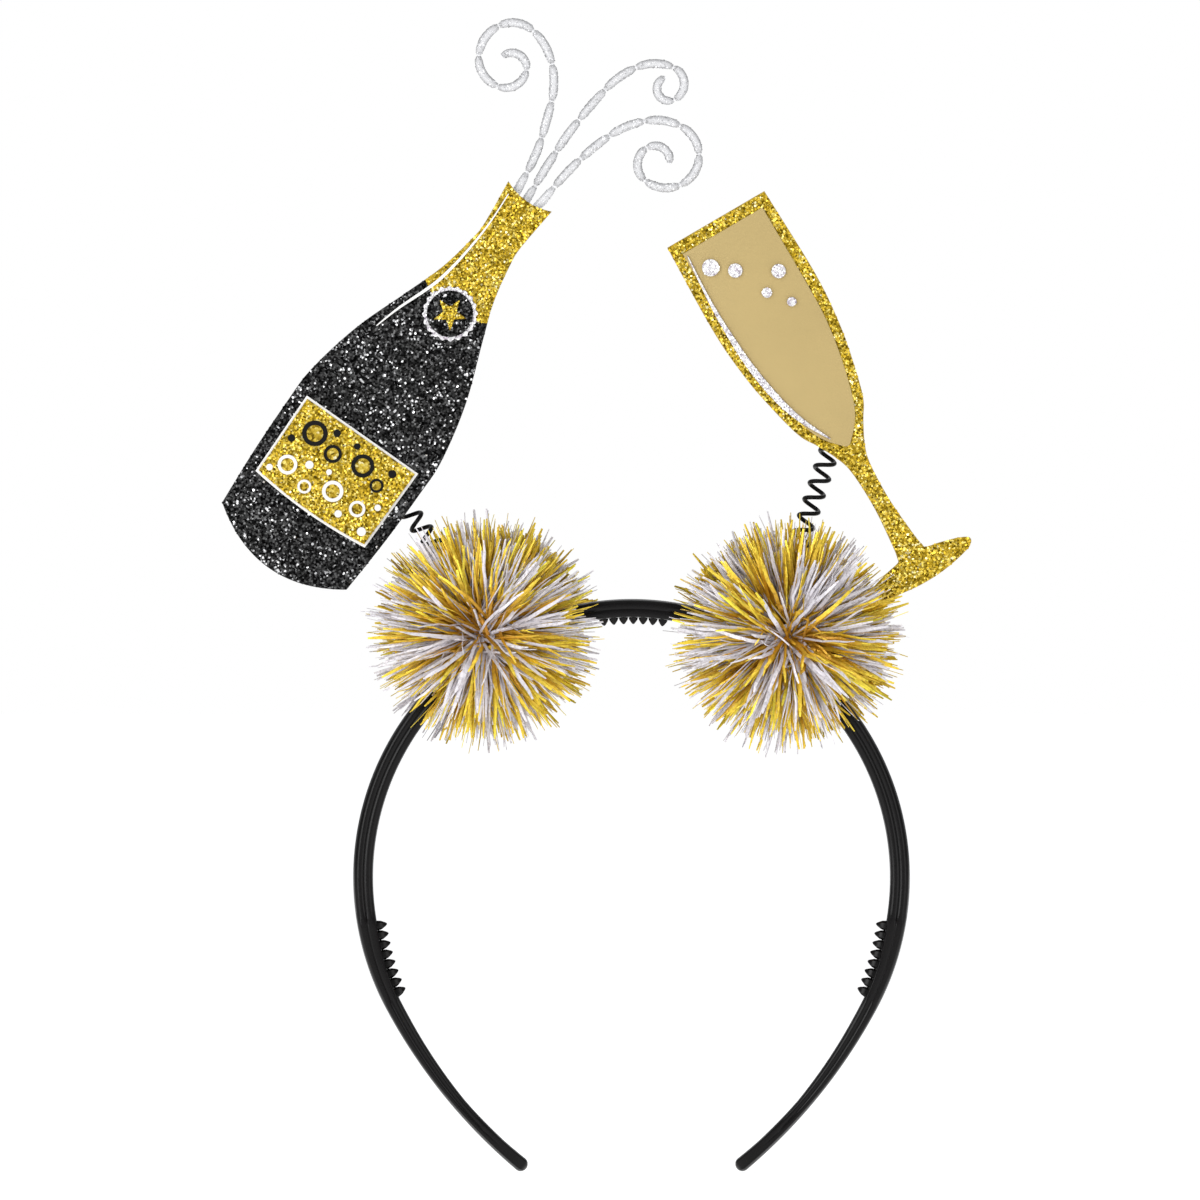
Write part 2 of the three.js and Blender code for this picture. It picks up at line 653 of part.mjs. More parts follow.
const glass = new THREE.Group();
glass.position.set(GLASS.x, 0, GLASS.z);
glass.rotation.y = radians(GLASS.lean);
bopper.add(glass);
const glassOutline = outlineOf(sideCurve(GLASS_ROWS).getPoints(OUTLINE_STEPS), -GLASS.footSag, 0);
const wineSide = sideCurve(WINE_ROWS).getPoints(OUTLINE_STEPS / 2).slice(1);
addPiece(glass, "glass_board", flat(glassOutline, BOARD_BACK, BOARD_THICK), "goldGlitter");
addPiece(glass, "wine_panel", flat(outlineOf(wineSide, -WINE_SAG, 0), FIRST_LAYER), "wineCard");
BUBBLES.forEach(({ u, up, radius }, k) => {
  const disc = discAt(u, up, radius, BUBBLE_STEPS);
  addPiece(glass, `bubble_${k + 1}`, flat(disc, SECOND_LAYER), "silverGlitter");
});
addPiece(glass, "bowl_glint", flat(glintOutline(GLASS_GLINT), SECOND_LAYER), "silverGlitter");

export default bopper;
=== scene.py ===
"""Looks of a New Year head bopper: comb headband, tinsel pompoms, and a glitter bottle and glass on springs.

Sizes are in millimetres until a piece is put into the scene, which is in metres in the frame of the solids:
+X to the right as seen from the front, +Y to the back, +Z up.
"""

import bpy
import numpy as np
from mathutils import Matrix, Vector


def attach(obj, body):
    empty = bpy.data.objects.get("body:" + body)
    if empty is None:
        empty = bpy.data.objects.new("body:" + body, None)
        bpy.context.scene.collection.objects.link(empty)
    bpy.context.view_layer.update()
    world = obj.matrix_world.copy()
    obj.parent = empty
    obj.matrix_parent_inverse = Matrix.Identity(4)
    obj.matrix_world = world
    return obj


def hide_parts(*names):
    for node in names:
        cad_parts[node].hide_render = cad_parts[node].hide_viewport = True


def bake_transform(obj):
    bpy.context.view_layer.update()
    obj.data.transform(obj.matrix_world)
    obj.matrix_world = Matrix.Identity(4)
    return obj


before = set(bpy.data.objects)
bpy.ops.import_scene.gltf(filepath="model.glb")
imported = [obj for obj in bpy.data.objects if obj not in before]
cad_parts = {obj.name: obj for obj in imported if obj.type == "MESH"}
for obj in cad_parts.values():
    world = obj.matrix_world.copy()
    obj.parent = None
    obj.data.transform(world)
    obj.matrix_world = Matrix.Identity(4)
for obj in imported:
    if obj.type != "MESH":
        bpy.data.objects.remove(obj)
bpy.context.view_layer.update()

# Headband: one moulding in black plastic, bowed over the head, with two beads along each side, a channel
# between two rims inside, three combs of teeth in the channel and a boss for each spring on top.
MM = 0.001
CROWN_RADIUS, LEG_RADIUS, ARCS_MEET_AT, TIP_AT = 67.5, 133.0, 118.0, 139.8
CROWN_TOP = 4.5
SIZE_AT = (0, 40, 100, 120, 131, 137, TIP_AT)
THICKNESS = (CROWN_TOP, 4.9, 4.8, 3.9, 3.2, 3.3, 3.5)
BAND_WIDTH = (9, 9, 8.6, 7.8, 7, 6.6, 6.4)
CHANNEL_DEPTH = (1, 1, 1, 0.8, 0.4, 0, 0)
BAND_STEPS, CAP_STEPS, CAP_TURN = 283, 9, 0.97
BEADS_AT, BEAD_HALF, BEAD_RISE, GROOVE = (0.28, 0.66), 0.15, 0.17, 0.42
BEADS_FADE, FLAT_AT_COMBS = (128, 136), 0.85
COMBS = ((-108.4, 8, 2.4), (0.4, 7, 1.6), (108.4, 8, 2.4))
COMB_MARGIN, COMB_STEP = 1.0, 0.8
TOOTH_PITCH, TOOTH_ROOT, TOOTH_WAIST, TOOTH_TIP = 2.575, 1.26, 1.008, 0.25
TOOTH_SHARE = np.array([0, 0.36, 0.5, 0.65, 0.8, 0.9, 0.97, 1.0])
TOOTH_NARROWS_AT, TOOTH_BLUNT = (0.36, 0.65, 1), (0.8, 0.35)
TOOTH_SUNK, TOOTH_ROW = 0.5, 1.4
SPRING_FOOT = {"left": -28.5, "right": 29.6}
SPRING_LEAN = {"left": -36.5, "right": 18.1}
SPRING_LENGTH = {"left": 44.0, "right": 53.7}
BOSS_RADIUS, BOSS_HEIGHT, BOSS_SUNK = 1.3, 5.0, 1.5
BOSS_HEIGHTS = (-BOSS_SUNK, 0.0, 0.15, 0.5, BOSS_HEIGHT - 0.4, BOSS_HEIGHT - 0.1, BOSS_HEIGHT)
BOSS_RADII = BOSS_RADIUS * np.array([1.5, 1.5, 1.2, 1.0, 1.0, 0.85, 0.55])
BACKWARDS = np.array([0.0, 1.0, 0.0])


def full_turn(count):
    """Angles of this many points, evenly round a circle."""
    return np.linspace(0, 2 * np.pi, count, endpoint=False)


def unit(vectors):
    """The same vectors, each of length 1."""
    return vectors / np.linalg.norm(vectors, axis=-1, keepdims=True)


def heading(degrees):
    """Unit vectors in the plane of the band, turned from straight up towards the right by these angles."""
    turn = np.radians(degrees)
    return np.stack([np.sin(turn), np.zeros_like(turn), np.cos(turn)], -1)


def sideways(out):
    """Vectors in the plane of the band, a quarter turn to the right of these."""
    return np.cross(BACKWARDS, out)


def round_about(axis, turn):
    """Unit vectors square to an axis in the plane of the band, turned from its right towards the back."""
    return np.cos(turn)[..., None] * sideways(axis) + np.sin(turn)[..., None] * BACKWARDS


def rounded_square(turn, power):
    """Radius of a square with rounded corners at these angles, rounder the lower its power is."""
    return (np.abs(np.cos(turn)) ** power + np.abs(np.sin(turn)) ** power) ** (-1 / power)


def along_band(at, sizes):
    """A size of the band at these angles, even on both legs and straight between the places in SIZE_AT."""
    return np.interp(np.abs(at), SIZE_AT, sizes)


def band_outer(at):
    """Points on the band's outer face: one arc over the crown, then a wider arc that meets it smoothly."""
    at = np.asarray(at, float)
    crown = CROWN_RADIUS * heading(at)
    meet = heading(np.sign(at) * ARCS_MEET_AT)
    leg = (CROWN_RADIUS - LEG_RADIUS) * meet + LEG_RADIUS * heading(at)
    bow = np.where((np.abs(at) > ARCS_MEET_AT)[..., None], leg, crown)
    return bow + [0, 0, CROWN_TOP - CROWN_RADIUS]


def at_combs(at):
    """1 beside a comb and 0 away from it, with a short smooth step at each end."""
    share = np.zeros_like(at)
    for middle, teeth, _ in COMBS:
        half_width = np.degrees(teeth * TOOTH_PITCH / 2 / CROWN_RADIUS)
        within = (half_width + COMB_MARGIN - np.abs(at - middle)) / COMB_STEP
        share = np.maximum(share, np.clip(within, 0, 1))
    return share * share * (3 - 2 * share)


def band_rings(at, shrink, beyond):
    """Sections of the band: half a profile of heights and insets from the side, mirrored to the back.

    Heights run from the rims to the domed top, over two beads that are parabolas with a groove between them.
    A section at a tip is shrunk about its middle and moved beyond the tip, which rounds the end.
    """
    thick, channel = along_band(at, THICKNESS), along_band(at, CHANNEL_DEPTH)
    half = along_band(at, BAND_WIDTH) / 2
    relief = np.interp(np.abs(at), BEADS_FADE, (1, 0)) * (1 - FLAT_AT_COMBS * at_combs(at))
    lower_bead, upper_bead = (
        [((middle + BEAD_HALF * u) * thick, BEAD_RISE * u * u * relief) for u in np.linspace(-1, 1, 7)]
        for middle in BEADS_AT
    )
    profile = (
        (channel, half), (channel, 2.3), (0.85 * channel, 1.95), (0.3 * channel, 1.68),
        (0.03, 1.42), (0, 1.15), (0.05, 0.82), (0.18, 0.25 + 0.15 * relief), (0.36, 0.06 + 0.15 * relief),
        *lower_bead, (0.45 * thick, GROOVE * relief), (0.49 * thick, GROOVE * relief), *upper_bead,
        (thick - 0.46, 0.45), (thick - 0.2, 1.0), (thick - 0.06, 1.9), (thick, half),
    )
    rise, depth = (np.stack([np.broadcast_to(row[k], at.shape) for row in profile], -1) for k in (0, 1))
    depth = depth - half[:, None]
    rise = np.concatenate([rise, rise[:, -2:0:-1]], 1) - thick[:, None]
    depth = np.concatenate([depth, -depth[:, -2:0:-1]], 1) * shrink[:, None]
    middle = -thick[:, None] / 2
    rise = (rise - middle) * shrink[:, None] + middle
    out = heading(at)
    spine = band_outer(at) + (np.sign(at) * beyond)[:, None] * sideways(out)
    return spine[:, None] + rise[..., None] * out[:, None] + depth[..., None] * BACKWARDS


def walls(count, around, closed=False):
    """Four-sided faces between neighbouring rings, and from the last to the first where the row closes."""
    row, column = np.arange(count if closed else count - 1)[:, None], np.arange(around)
    here, following, beside = row * around, (row + 1) % count * around, (column + 1) % around
    faces = np.stack([here + column, here + beside, following + beside, following + column], -1)
    return faces.reshape(-1, 4)


def skin(rings):
    """Points and faces of a closed tube over a row of rings, with a flat face on each end."""
    count, around = rings.shape[:2]
    ends = [list(range(around))[::-1], list(range((count - 1) * around, count * around))]
    return rings.reshape(-1, 3), walls(count, around).tolist() + ends


def skin_loop(rings):
    """Points and faces over a row of rings that closes on itself."""
    return rings.reshape(-1, 3), walls(*rings.shape[:2], closed=True).tolist()


def skin_many(rings):
    """Closed tubes for an array of equal ones: pieces, rings, points round each ring, and coordinates."""
    pieces, count, around = rings.shape[:3]
    _, faces = skin(rings[0])
    start = (np.arange(pieces) * count * around)[:, None, None]
    sides = (np.array(faces[:-2]) + start).reshape(-1, 4).tolist()
    ends = (np.array(faces[-2:]) + start).reshape(-1, around).tolist()
    return rings.reshape(-1, 3), sides + ends


def join(*shapes):
    """Several shapes, each points and faces, as one."""
    starts = np.cumsum([0] + [len(points) for points, _ in shapes]).tolist()
    faces = []
    for start, (_, rows) in zip(starts, shapes):
        faces += [[number + start for number in face] for face in rows]
    return np.concatenate([points for points, _ in shapes]), faces


def put_in_scene(name, data):
    """A new object for a mesh, a lamp or a camera."""
    made = bpy.data.objects.new(name, data)
    bpy.context.scene.collection.objects.link(made)
    return made


def add_piece(name, shape, materials, body, stands_for=None, part=None, sharp=30):
    """Puts a shape into the scene, faces outwards, and makes it ride on a body of the frame.

    part gives each face's number in the list of materials. Edges sharper than the angle stay crisp.
    """
    points, faces = shape
    mesh = bpy.data.meshes.new(name)
    mesh.from_pydata((points * MM).tolist(), [], faces)
    mesh.calc_loop_triangles()
    corners = np.zeros(len(mesh.loop_triangles) * 3, np.int32)
    mesh.loop_triangles.foreach_get("vertices", corners)
    a, b, c = points[corners].reshape(-1, 3, 3).transpose(1, 0, 2)
    if np.einsum("ij,ij->", a, np.cross(b, c)) < 0:
        mesh.flip_normals()
    for material in materials:
        mesh.materials.append(material)
    if part is not None:
        mesh.polygons.foreach_set("material_index", np.asarray(part, np.int32))
    mesh.shade_smooth()
    mesh.set_sharp_from_angle(angle=np.radians(sharp))
    piece = put_in_scene(name, mesh)
    if body:
        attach(piece, body)
    if stands_for:
        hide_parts(stands_for)
    return piece


def new_material(name, roughness, metallic=0.0, shine=0.5):
    """A material, its shader, a shorthand that adds a node, and one that feeds an input of the shader."""
    material = bpy.data.materials.new(name)
    material.use_nodes = True
    tree = material.node_tree
    shader = tree.nodes["Principled BSDF"]
    shader.inputs["Roughness"].default_value = roughness
    shader.inputs["Metallic"].default_value = metallic
    shader.inputs["Specular IOR Level"].default_value = shine

    def node(kind, settings=None, **inputs):
        made = tree.nodes.new(kind)
        for key, value in (settings or {}).items():
            setattr(made, key, value)
        for key, value in inputs.items():
            socket = made.inputs[key.replace("_", " ")]
            if isinstance(value, bpy.types.NodeSocket):
                tree.links.new(value, socket)
            else:
                socket.default_value = value
        return made

    def feed(entry, output):
        tree.links.new(output, shader.inputs[entry])

    return material, shader, node, feed


def ramp(node, value, stops):
    """A colour ramp through these stops, each a place and a colour, read at a value."""
    made = node("ShaderNodeValToRGB", Fac=value)
    elements = made.color_ramp.elements
    while len(elements) < len(stops):
        elements.new(0.5)
    for element, (place, colour) in zip(elements, stops):
        element.position = place
        element.color = (*colour, 1)
    return made.outputs["Color"]


def toned(colour, share):
    """A colour made darker or lighter by a share."""
    return tuple(share * part for part in colour)


def noise(node, scale, detail):
    """Soft noise that stays with the piece, of so many swings to the metre."""
    place = node("ShaderNodeTexCoord").outputs["Object"]
    return node("ShaderNodeTexNoise", Vector=place, Scale=scale, Detail=detail).outputs["Fac"]


def mottle(node, feed, cloud, colour, darker, lighter):
    """Gives the shader a colour that drifts with a cloud between a darker and a lighter tone."""
    feed("Base Color", ramp(node, cloud, ((0.3, toned(colour, darker)), (0.7, toned(colour, lighter)))))


def emboss(node, feed, height, strength, distance):
    """Gives the shader a relief of this depth in metres."""
    bump = node("ShaderNodeBump", Strength=strength, Distance=distance, Height=height)
    feed("Normal", bump.outputs["Normal"])


def satin_black(name, colour, roughness, grain, shine):
    """Black moulding: gloss that drifts over a few millimetres, and a fine grain in the surface."""
    material, _, node, feed = new_material(name, roughness, shine=shine)
    cloud = noise(node, 160.0, 3.0)
    gloss = node("ShaderNodeMapRange", Value=cloud, To_Min=roughness - 0.08, To_Max=roughness + 0.1)
    feed("Roughness", gloss.outputs["Result"])
    mottle(node, feed, cloud, colour, 1.0, 1.5)
    emboss(node, feed, noise(node, grain, 2.0), 0.12, 0.0001)
    return material


def comb_teeth(middle, count, reach):
    """Two rows of teeth: rounded squares stacked from the channel's floor towards the head.

    A tooth keeps its width up to the rims, narrows slowly to a waist, and then faster to a blunt tip.
    """
    at = middle + np.degrees((np.arange(count) - (count - 1) / 2) * TOOTH_PITCH / CROWN_RADIUS)
    at, row = np.repeat(at, 2), np.tile([-TOOTH_ROW, TOOTH_ROW], count)
    half = np.interp(TOOTH_SHARE, TOOTH_NARROWS_AT, (TOOTH_ROOT, TOOTH_WAIST, TOOTH_TIP))
    half[-2:] *= TOOTH_BLUNT
    turn = full_turn(12)
    square = half[:, None] * rounded_square(turn, 4)
    out = heading(at)
    root = along_band(at, CHANNEL_DEPTH) + TOOTH_SUNK
    height = (root - along_band(at, THICKNESS))[:, None] - TOOTH_SHARE * (root + reach)[:, None]
    spine = band_outer(at)[:, None] + height[..., None] * out[:, None]
    spine[..., 1] = row[:, None]
    edge = (square * np.cos(turn))[None, ..., None] * sideways(out)[:, None, None]
    side = (square * np.sin(turn))[None, ..., None] * BACKWARDS
    return skin_many(spine[:, :, None] + edge + side)


def spring_axis(side):
    """The spring's foot on the band and the way it leans."""
    return band_outer(SPRING_FOOT[side]), heading(SPRING_LEAN[side])


def round_post(root, axis, heights, radii):
    """A post on an axis in the plane of the band: a circle of each radius at each height."""
    circle = round_about(axis, full_turn(20))
    return skin(root + np.array(heights)[:, None, None] * axis + np.array(radii)[:, None, None] * circle)


body_at = np.linspace(-TIP_AT, TIP_AT, BAND_STEPS)
cap = np.sin(np.linspace(0, np.pi / 2, CAP_STEPS)[1:] * CAP_TURN)
station = np.concatenate([np.full(cap.size, -TIP_AT), body_at, np.full(cap.size, TIP_AT)])
round_off = np.concatenate([cap[::-1], np.zeros(body_at.size), cap])
band = skin(band_rings(station, np.sqrt(1 - round_off**2), round_off * THICKNESS[-1] / 2))
combs = [comb_teeth(*comb) for comb in COMBS]
bosses = [round_post(*spring_axis(side), BOSS_HEIGHTS, BOSS_RADII) for side in ("left", "right")]
moulding = join(band, *combs, *bosses)
band_plastic = satin_black("satin_black_plastic", (0.002, 0.0016, 0.0017), 0.21, 2600.0, 0.19)
add_piece("comb_headband", moulding, [band_plastic], "headband", "headband")

# Springs: black coated steel wire wound into an open coil, slipped over a boss on the band and a peg on the
# holder. Each is cut in two halfway.
WIRE_RADIUS, COIL_RADIUS, COIL_PITCH = 0.53, 2.17, 4.15
FOOT_CLEARANCE, TOP_CLEARANCE = 1.3, 0.83
STARTS_AT = {"left": 0.0, "right": -147.0}
COIL_STEPS, COIL_SIDES = 30, 10
spring_wire = satin_black("black_coated_wire", (0.004, 0.004, 0.0042), 0.3, 1800.0, 0.1)


def coil(side, low, high):
    """A wire round an axis: a helix of even pitch, with a small circle square to it at every step."""
    foot, axis = spring_axis(side)
    up = np.linspace(low, high, int((high - low) / COIL_PITCH * COIL_STEPS))
    turn = np.radians(STARTS_AT[side]) + 2 * np.pi * (up - FOOT_CLEARANCE) / COIL_PITCH
    outward, around = round_about(axis, turn), round_about(axis, turn + np.pi / 2)
    forward = unit(COIL_RADIUS * around + COIL_PITCH / (2 * np.pi) * axis)
    level = np.cross(forward, outward)
    spine = foot + up[:, None] * axis + COIL_RADIUS * outward
    angle = full_turn(COIL_SIDES)[:, None]
    ring = np.cos(angle) * outward[:, None] + np.sin(angle) * level[:, None]
    return skin(spine[:, None] + WIRE_RADIUS * ring)


for side, rider, cutout in (("left", "left_spring", "bottle"), ("right", "right_spring", "glass")):
    foot, axis = spring_axis(side)
    length = SPRING_LENGTH[side]
    wire = coil(side, FOOT_CLEARANCE, length / 2)
    lower = add_piece(f"spring_{side}_lower", wire, [spring_wire], None, f"spring_{side}")
    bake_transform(lower)
    wire = coil(side, length / 2, length - TOP_CLEARANCE)
    upper = add_piece(f"spring_{side}_upper", wire, [spring_wire], None)
    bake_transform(upper)

# Pompoms: balls of gold and white metallised film cut into strips, in tufts that are tied in front of and
# behind a wound collar round the spring's foot. The slot between them is open where the cut-outs swing.
POMPOM_RADIUS = 29.2
POMPOM_AT = {"left": np.array([-35.8, 0, -3.4]), "right": np.array([37.7, 0, -4.3])}
TUFTS, TUFT_STRIPS, TUFT_WIDE, TUFT_DEEP = 104, 22, 0.052, 0.06
GOLDEN_ANGLE = np.pi * (3 - np.sqrt(5))
WEDGES, WEDGE_KEPT, WHITE_SHARE, MIXED_SHARE = 15, 0.82, 0.45, 0.12
STRAY_SHARE, STRAY_SPREAD = 0.15, 0.16
STEEPEST, FLATTEST, STEEP_LIMITS = 0.78, 0.25, (0.2, 0.9)
REACH_MOST, REACH_LOSS, REACH_LEAN = 1.07, 0.4, 0.8
MIDDLE_STRIPS, MIDDLE_LOOSE, MIDDLE_TIP = 320, 2.0, 0.8
MIDDLE_STEEP, MIDDLE_REACH, MIDDLE_PAINTED_LIGHT = (0.6, 0.96), (0.55, 0.74), (0.4, 1)
TIE_SPREAD, TIE_GAP, TIE_DEPTH = 1.2, 0.2, 4
SLOT, SLOT_INNER, SLOT_FLOOR, BAND_ROOM, ROOM_UNEVEN = 9.6, -8, -6, 5.4, 1.5
NOD_BEFORE, NOD_BEHIND = {"left": 20, "right": 10}, 25
COIL_ASIDE, COIL_FROM, COIL_ROOM = 5.5, 4, 3.8
FANS = {
    "left": ((-95, -40, 22.5, -SLOT, SLOT), (36, 95, 26.5, -SLOT, SLOT), (-40, -24, 25.5, 4.8, SLOT)),
    "right": ((-95, -36, 26.5, -SLOT, SLOT), (74, 97, 25.5, -SLOT, SLOT), (34, 74, 25.5, 4.8, SLOT)),
}
FAN_STRIPS, FAN_TUFTS, FAN_REACH, FAN_RISE, FAN_ROOT = 420, 9, (0.84, 1), (0.2, 0.8), 4
STRIP_WIDTH, STRIP_THICK, CRINKLE = 0.9, 0.14, 0.22
STRIP_WIDTHS, WIDTH_SHARES = (0.45, 0.8, 1.0, 1.15), (0.25, 0.25, 0.3, 0.2)
STRIP_SHARE = np.array([0.0, 0.18, 0.36, 0.54, 0.72, 0.88, 1.0])
STRIP_TAPER = np.array([0.8, 1.0, 1.0, 1.0, 1.0, 0.85, 0.45])
STRIP_EDGE = np.array([[0.5, 0.0], [0.0, 1.0], [-0.5, 0.0]])
GUIDE_CLOSE = 0.8
SAG, SAG_DOWN, SAG_INTO_DEPTH, SAG_FORWARD = 0.6, 0.25, 0.3, 0.16
COLLAR_BORE, COLLAR_RADIUS, COLLAR_HEIGHT, COLLAR_GAP = 5.0, 10.4, 4.5, 0.3
RIBS, RIB_DEPTH = 36, 0.05
KNOT_FACE, KNOT_RADIUS, KNOT_DEPTH = 7.8, 7.5, 6.0
KNOT_RISE = np.array([0.0, 0.03, 0.3, 0.6, 0.85, 0.97, 1.0])
KNOT_REACH = np.array([0.75, 0.95, 1.0, 0.85, 0.55, 0.25, 0.06])
PLEATS, PLEAT_DEPTH = 24, 0.1
# Film colours from root to tip: painted shade darkens the roots in the ball's middle and painted light
# brightens the tips; the gold and white are the film's own.
GOLD_FILM_PAINTED_SHADE = ((0, (0.45, 0.2, 0.016)), (0.55, (0.63, 0.33, 0.018)), (1, (0.93, 0.69, 0.06)))
WHITE_FILM_PAINTED_SHADE = ((0, (0.6, 0.56, 0.6)), (0.55, (0.69, 0.655, 0.7)), (1, (0.81, 0.78, 0.82)))
GREEN_GOLD, GREEN_SHARE, GREEN_MOST = np.array([0.8, 0.76, 0.06]), 0.15, 0.45
FILM_SCATTER, FILM_TONE_AND_SHEEN, HEART_UNEVEN = 0.12, (0.85, 1.12), (0.6, 1.3)


def square_to(along, guide):
    """Two unit vectors square to each of these and to each other, the first one square to the guide as well.

    The guide is +X where a vector runs close to the one that is given.
    """
    apart = np.abs(along @ guide)[:, None] < GUIDE_CLOSE
    across = unit(np.cross(along, np.where(apart, guide, [1.0, 0.0, 0.0])))
    return across, np.cross(along, across)


def strips(root, tip, sag, roll, width, rng):
    """Strips of film: three-sided blades along bowed lines from root to tip.

    A point of a line is the straight share of the way plus a sag that is largest halfway and a small crinkle,
    and the blade's flat side is turned by its own roll.
    """
    share = STRIP_SHARE[None, :, None]
    bowed = 4 * share * (1 - share)
    spine = root[:, None] + share * (tip - root)[:, None] + bowed * sag[:, None]
    spine = spine + bowed * rng.normal(0, CRINKLE, spine.shape)
    along = unit(tip - root)
    across, level = square_to(along, BACKWARDS)
    flat = np.cos(roll)[:, None] * across + np.sin(roll)[:, None] * level
    proud = np.cross(along, flat)
    wide = (width[:, None] * STRIP_TAPER)[..., None, None] * STRIP_EDGE[:, :1] * flat[:, None, None]
    deep = STRIP_THICK * STRIP_EDGE[:, 1:] * proud[:, None, None]
    return spine[:, :, None] + wide + deep


def tint_by(stops, value):
    """Colours read from stops, each a place and a colour, at these values."""
    at = [place for place, _ in stops]
    return np.stack([np.interp(value, at, [colour[k] for _, colour in stops]) for k in range(3)], -1)


def film_tints(white, end, rng):
    """A colour for every point of every strip: painted shade deep at the root, painted light brighter
    outwards, uneven at random by strip and with a painted sheen by fold.

    end says how far up the scale of colours, and of painted light, a strip gets at its tip.
    """
    count = white.size
    place = np.clip(STRIP_SHARE * end[:, None] + rng.normal(0, FILM_SCATTER, (count, 1)), 0, 1)
    green = (rng.random((count, 1, 1)) < GREEN_SHARE) * GREEN_MOST * place[..., None]
    gold = tint_by(GOLD_FILM_PAINTED_SHADE, place) * (1 - green) + GREEN_GOLD * green
    tint = np.where(white[:, None, None], tint_by(WHITE_FILM_PAINTED_SHADE, place), gold)
    tint = tint * rng.uniform(*FILM_TONE_AND_SHEEN, (count, 1, 1))
    return tint * rng.uniform(*FILM_TONE_AND_SHEEN, (count, STRIP_SHARE.size, 1))


def add_tint(piece, name, tints):
    """Gives a piece a colour for each of its points."""
    colours = np.concatenate([tints.reshape(-1, 3), np.ones((tints.size // 3, 1))], 1)
    layer = piece.data.attributes.new(name, "FLOAT_COLOR", "POINT")
    layer.data.foreach_set("color", np.clip(colours, 0, 1).astype(np.float32).ravel())


def tinsel_film(name, metallic):
    """Metallised film: each strip's own tints, in lighter and darker facets of painted light and shade by a
    crumple in the film.
    """
    material, _, node, feed = new_material(name, 0.34, metallic)
    tint = node("ShaderNodeAttribute", {"attribute_name": "film_tint"}).outputs["Color"]
    crumple = noise(node, 1300.0, 1.0)
    painted_facet_shade = ramp(node, crumple, ((0.32, (0.74, 0.73, 0.73)), (0.48, (1, 1, 1))))
    shade = node("ShaderNodeMix", {"data_type": "RGBA", "blend_type": "MULTIPLY"}, Factor=1.0)
    material.node_tree.links.new(tint, shade.inputs[6])
    material.node_tree.links.new(painted_facet_shade, shade.inputs[7])
    feed("Base Color", shade.outputs[2])
    emboss(node, feed, crumple, 0.7, 0.0002)
    return material


def spring_room(side, tip):
    """How far from the middle plane a tip has to stay, so that the nodding coil passes behind or before it.

    The coil leans over by its largest nod, so the room grows with height in a narrow wedge along its axis.
    """
    foot, axis = spring_axis(side)
    height = (tip - foot) @ axis
    aside = np.abs((tip - foot) @ sideways(axis))
    nod = np.radians(np.where(tip[:, 1] < 0, NOD_BEFORE[side], NOD_BEHIND))
    return np.where((aside < COIL_ASIDE) & (height > COIL_FROM), height * np.tan(nod) + COIL_ROOM, 0)


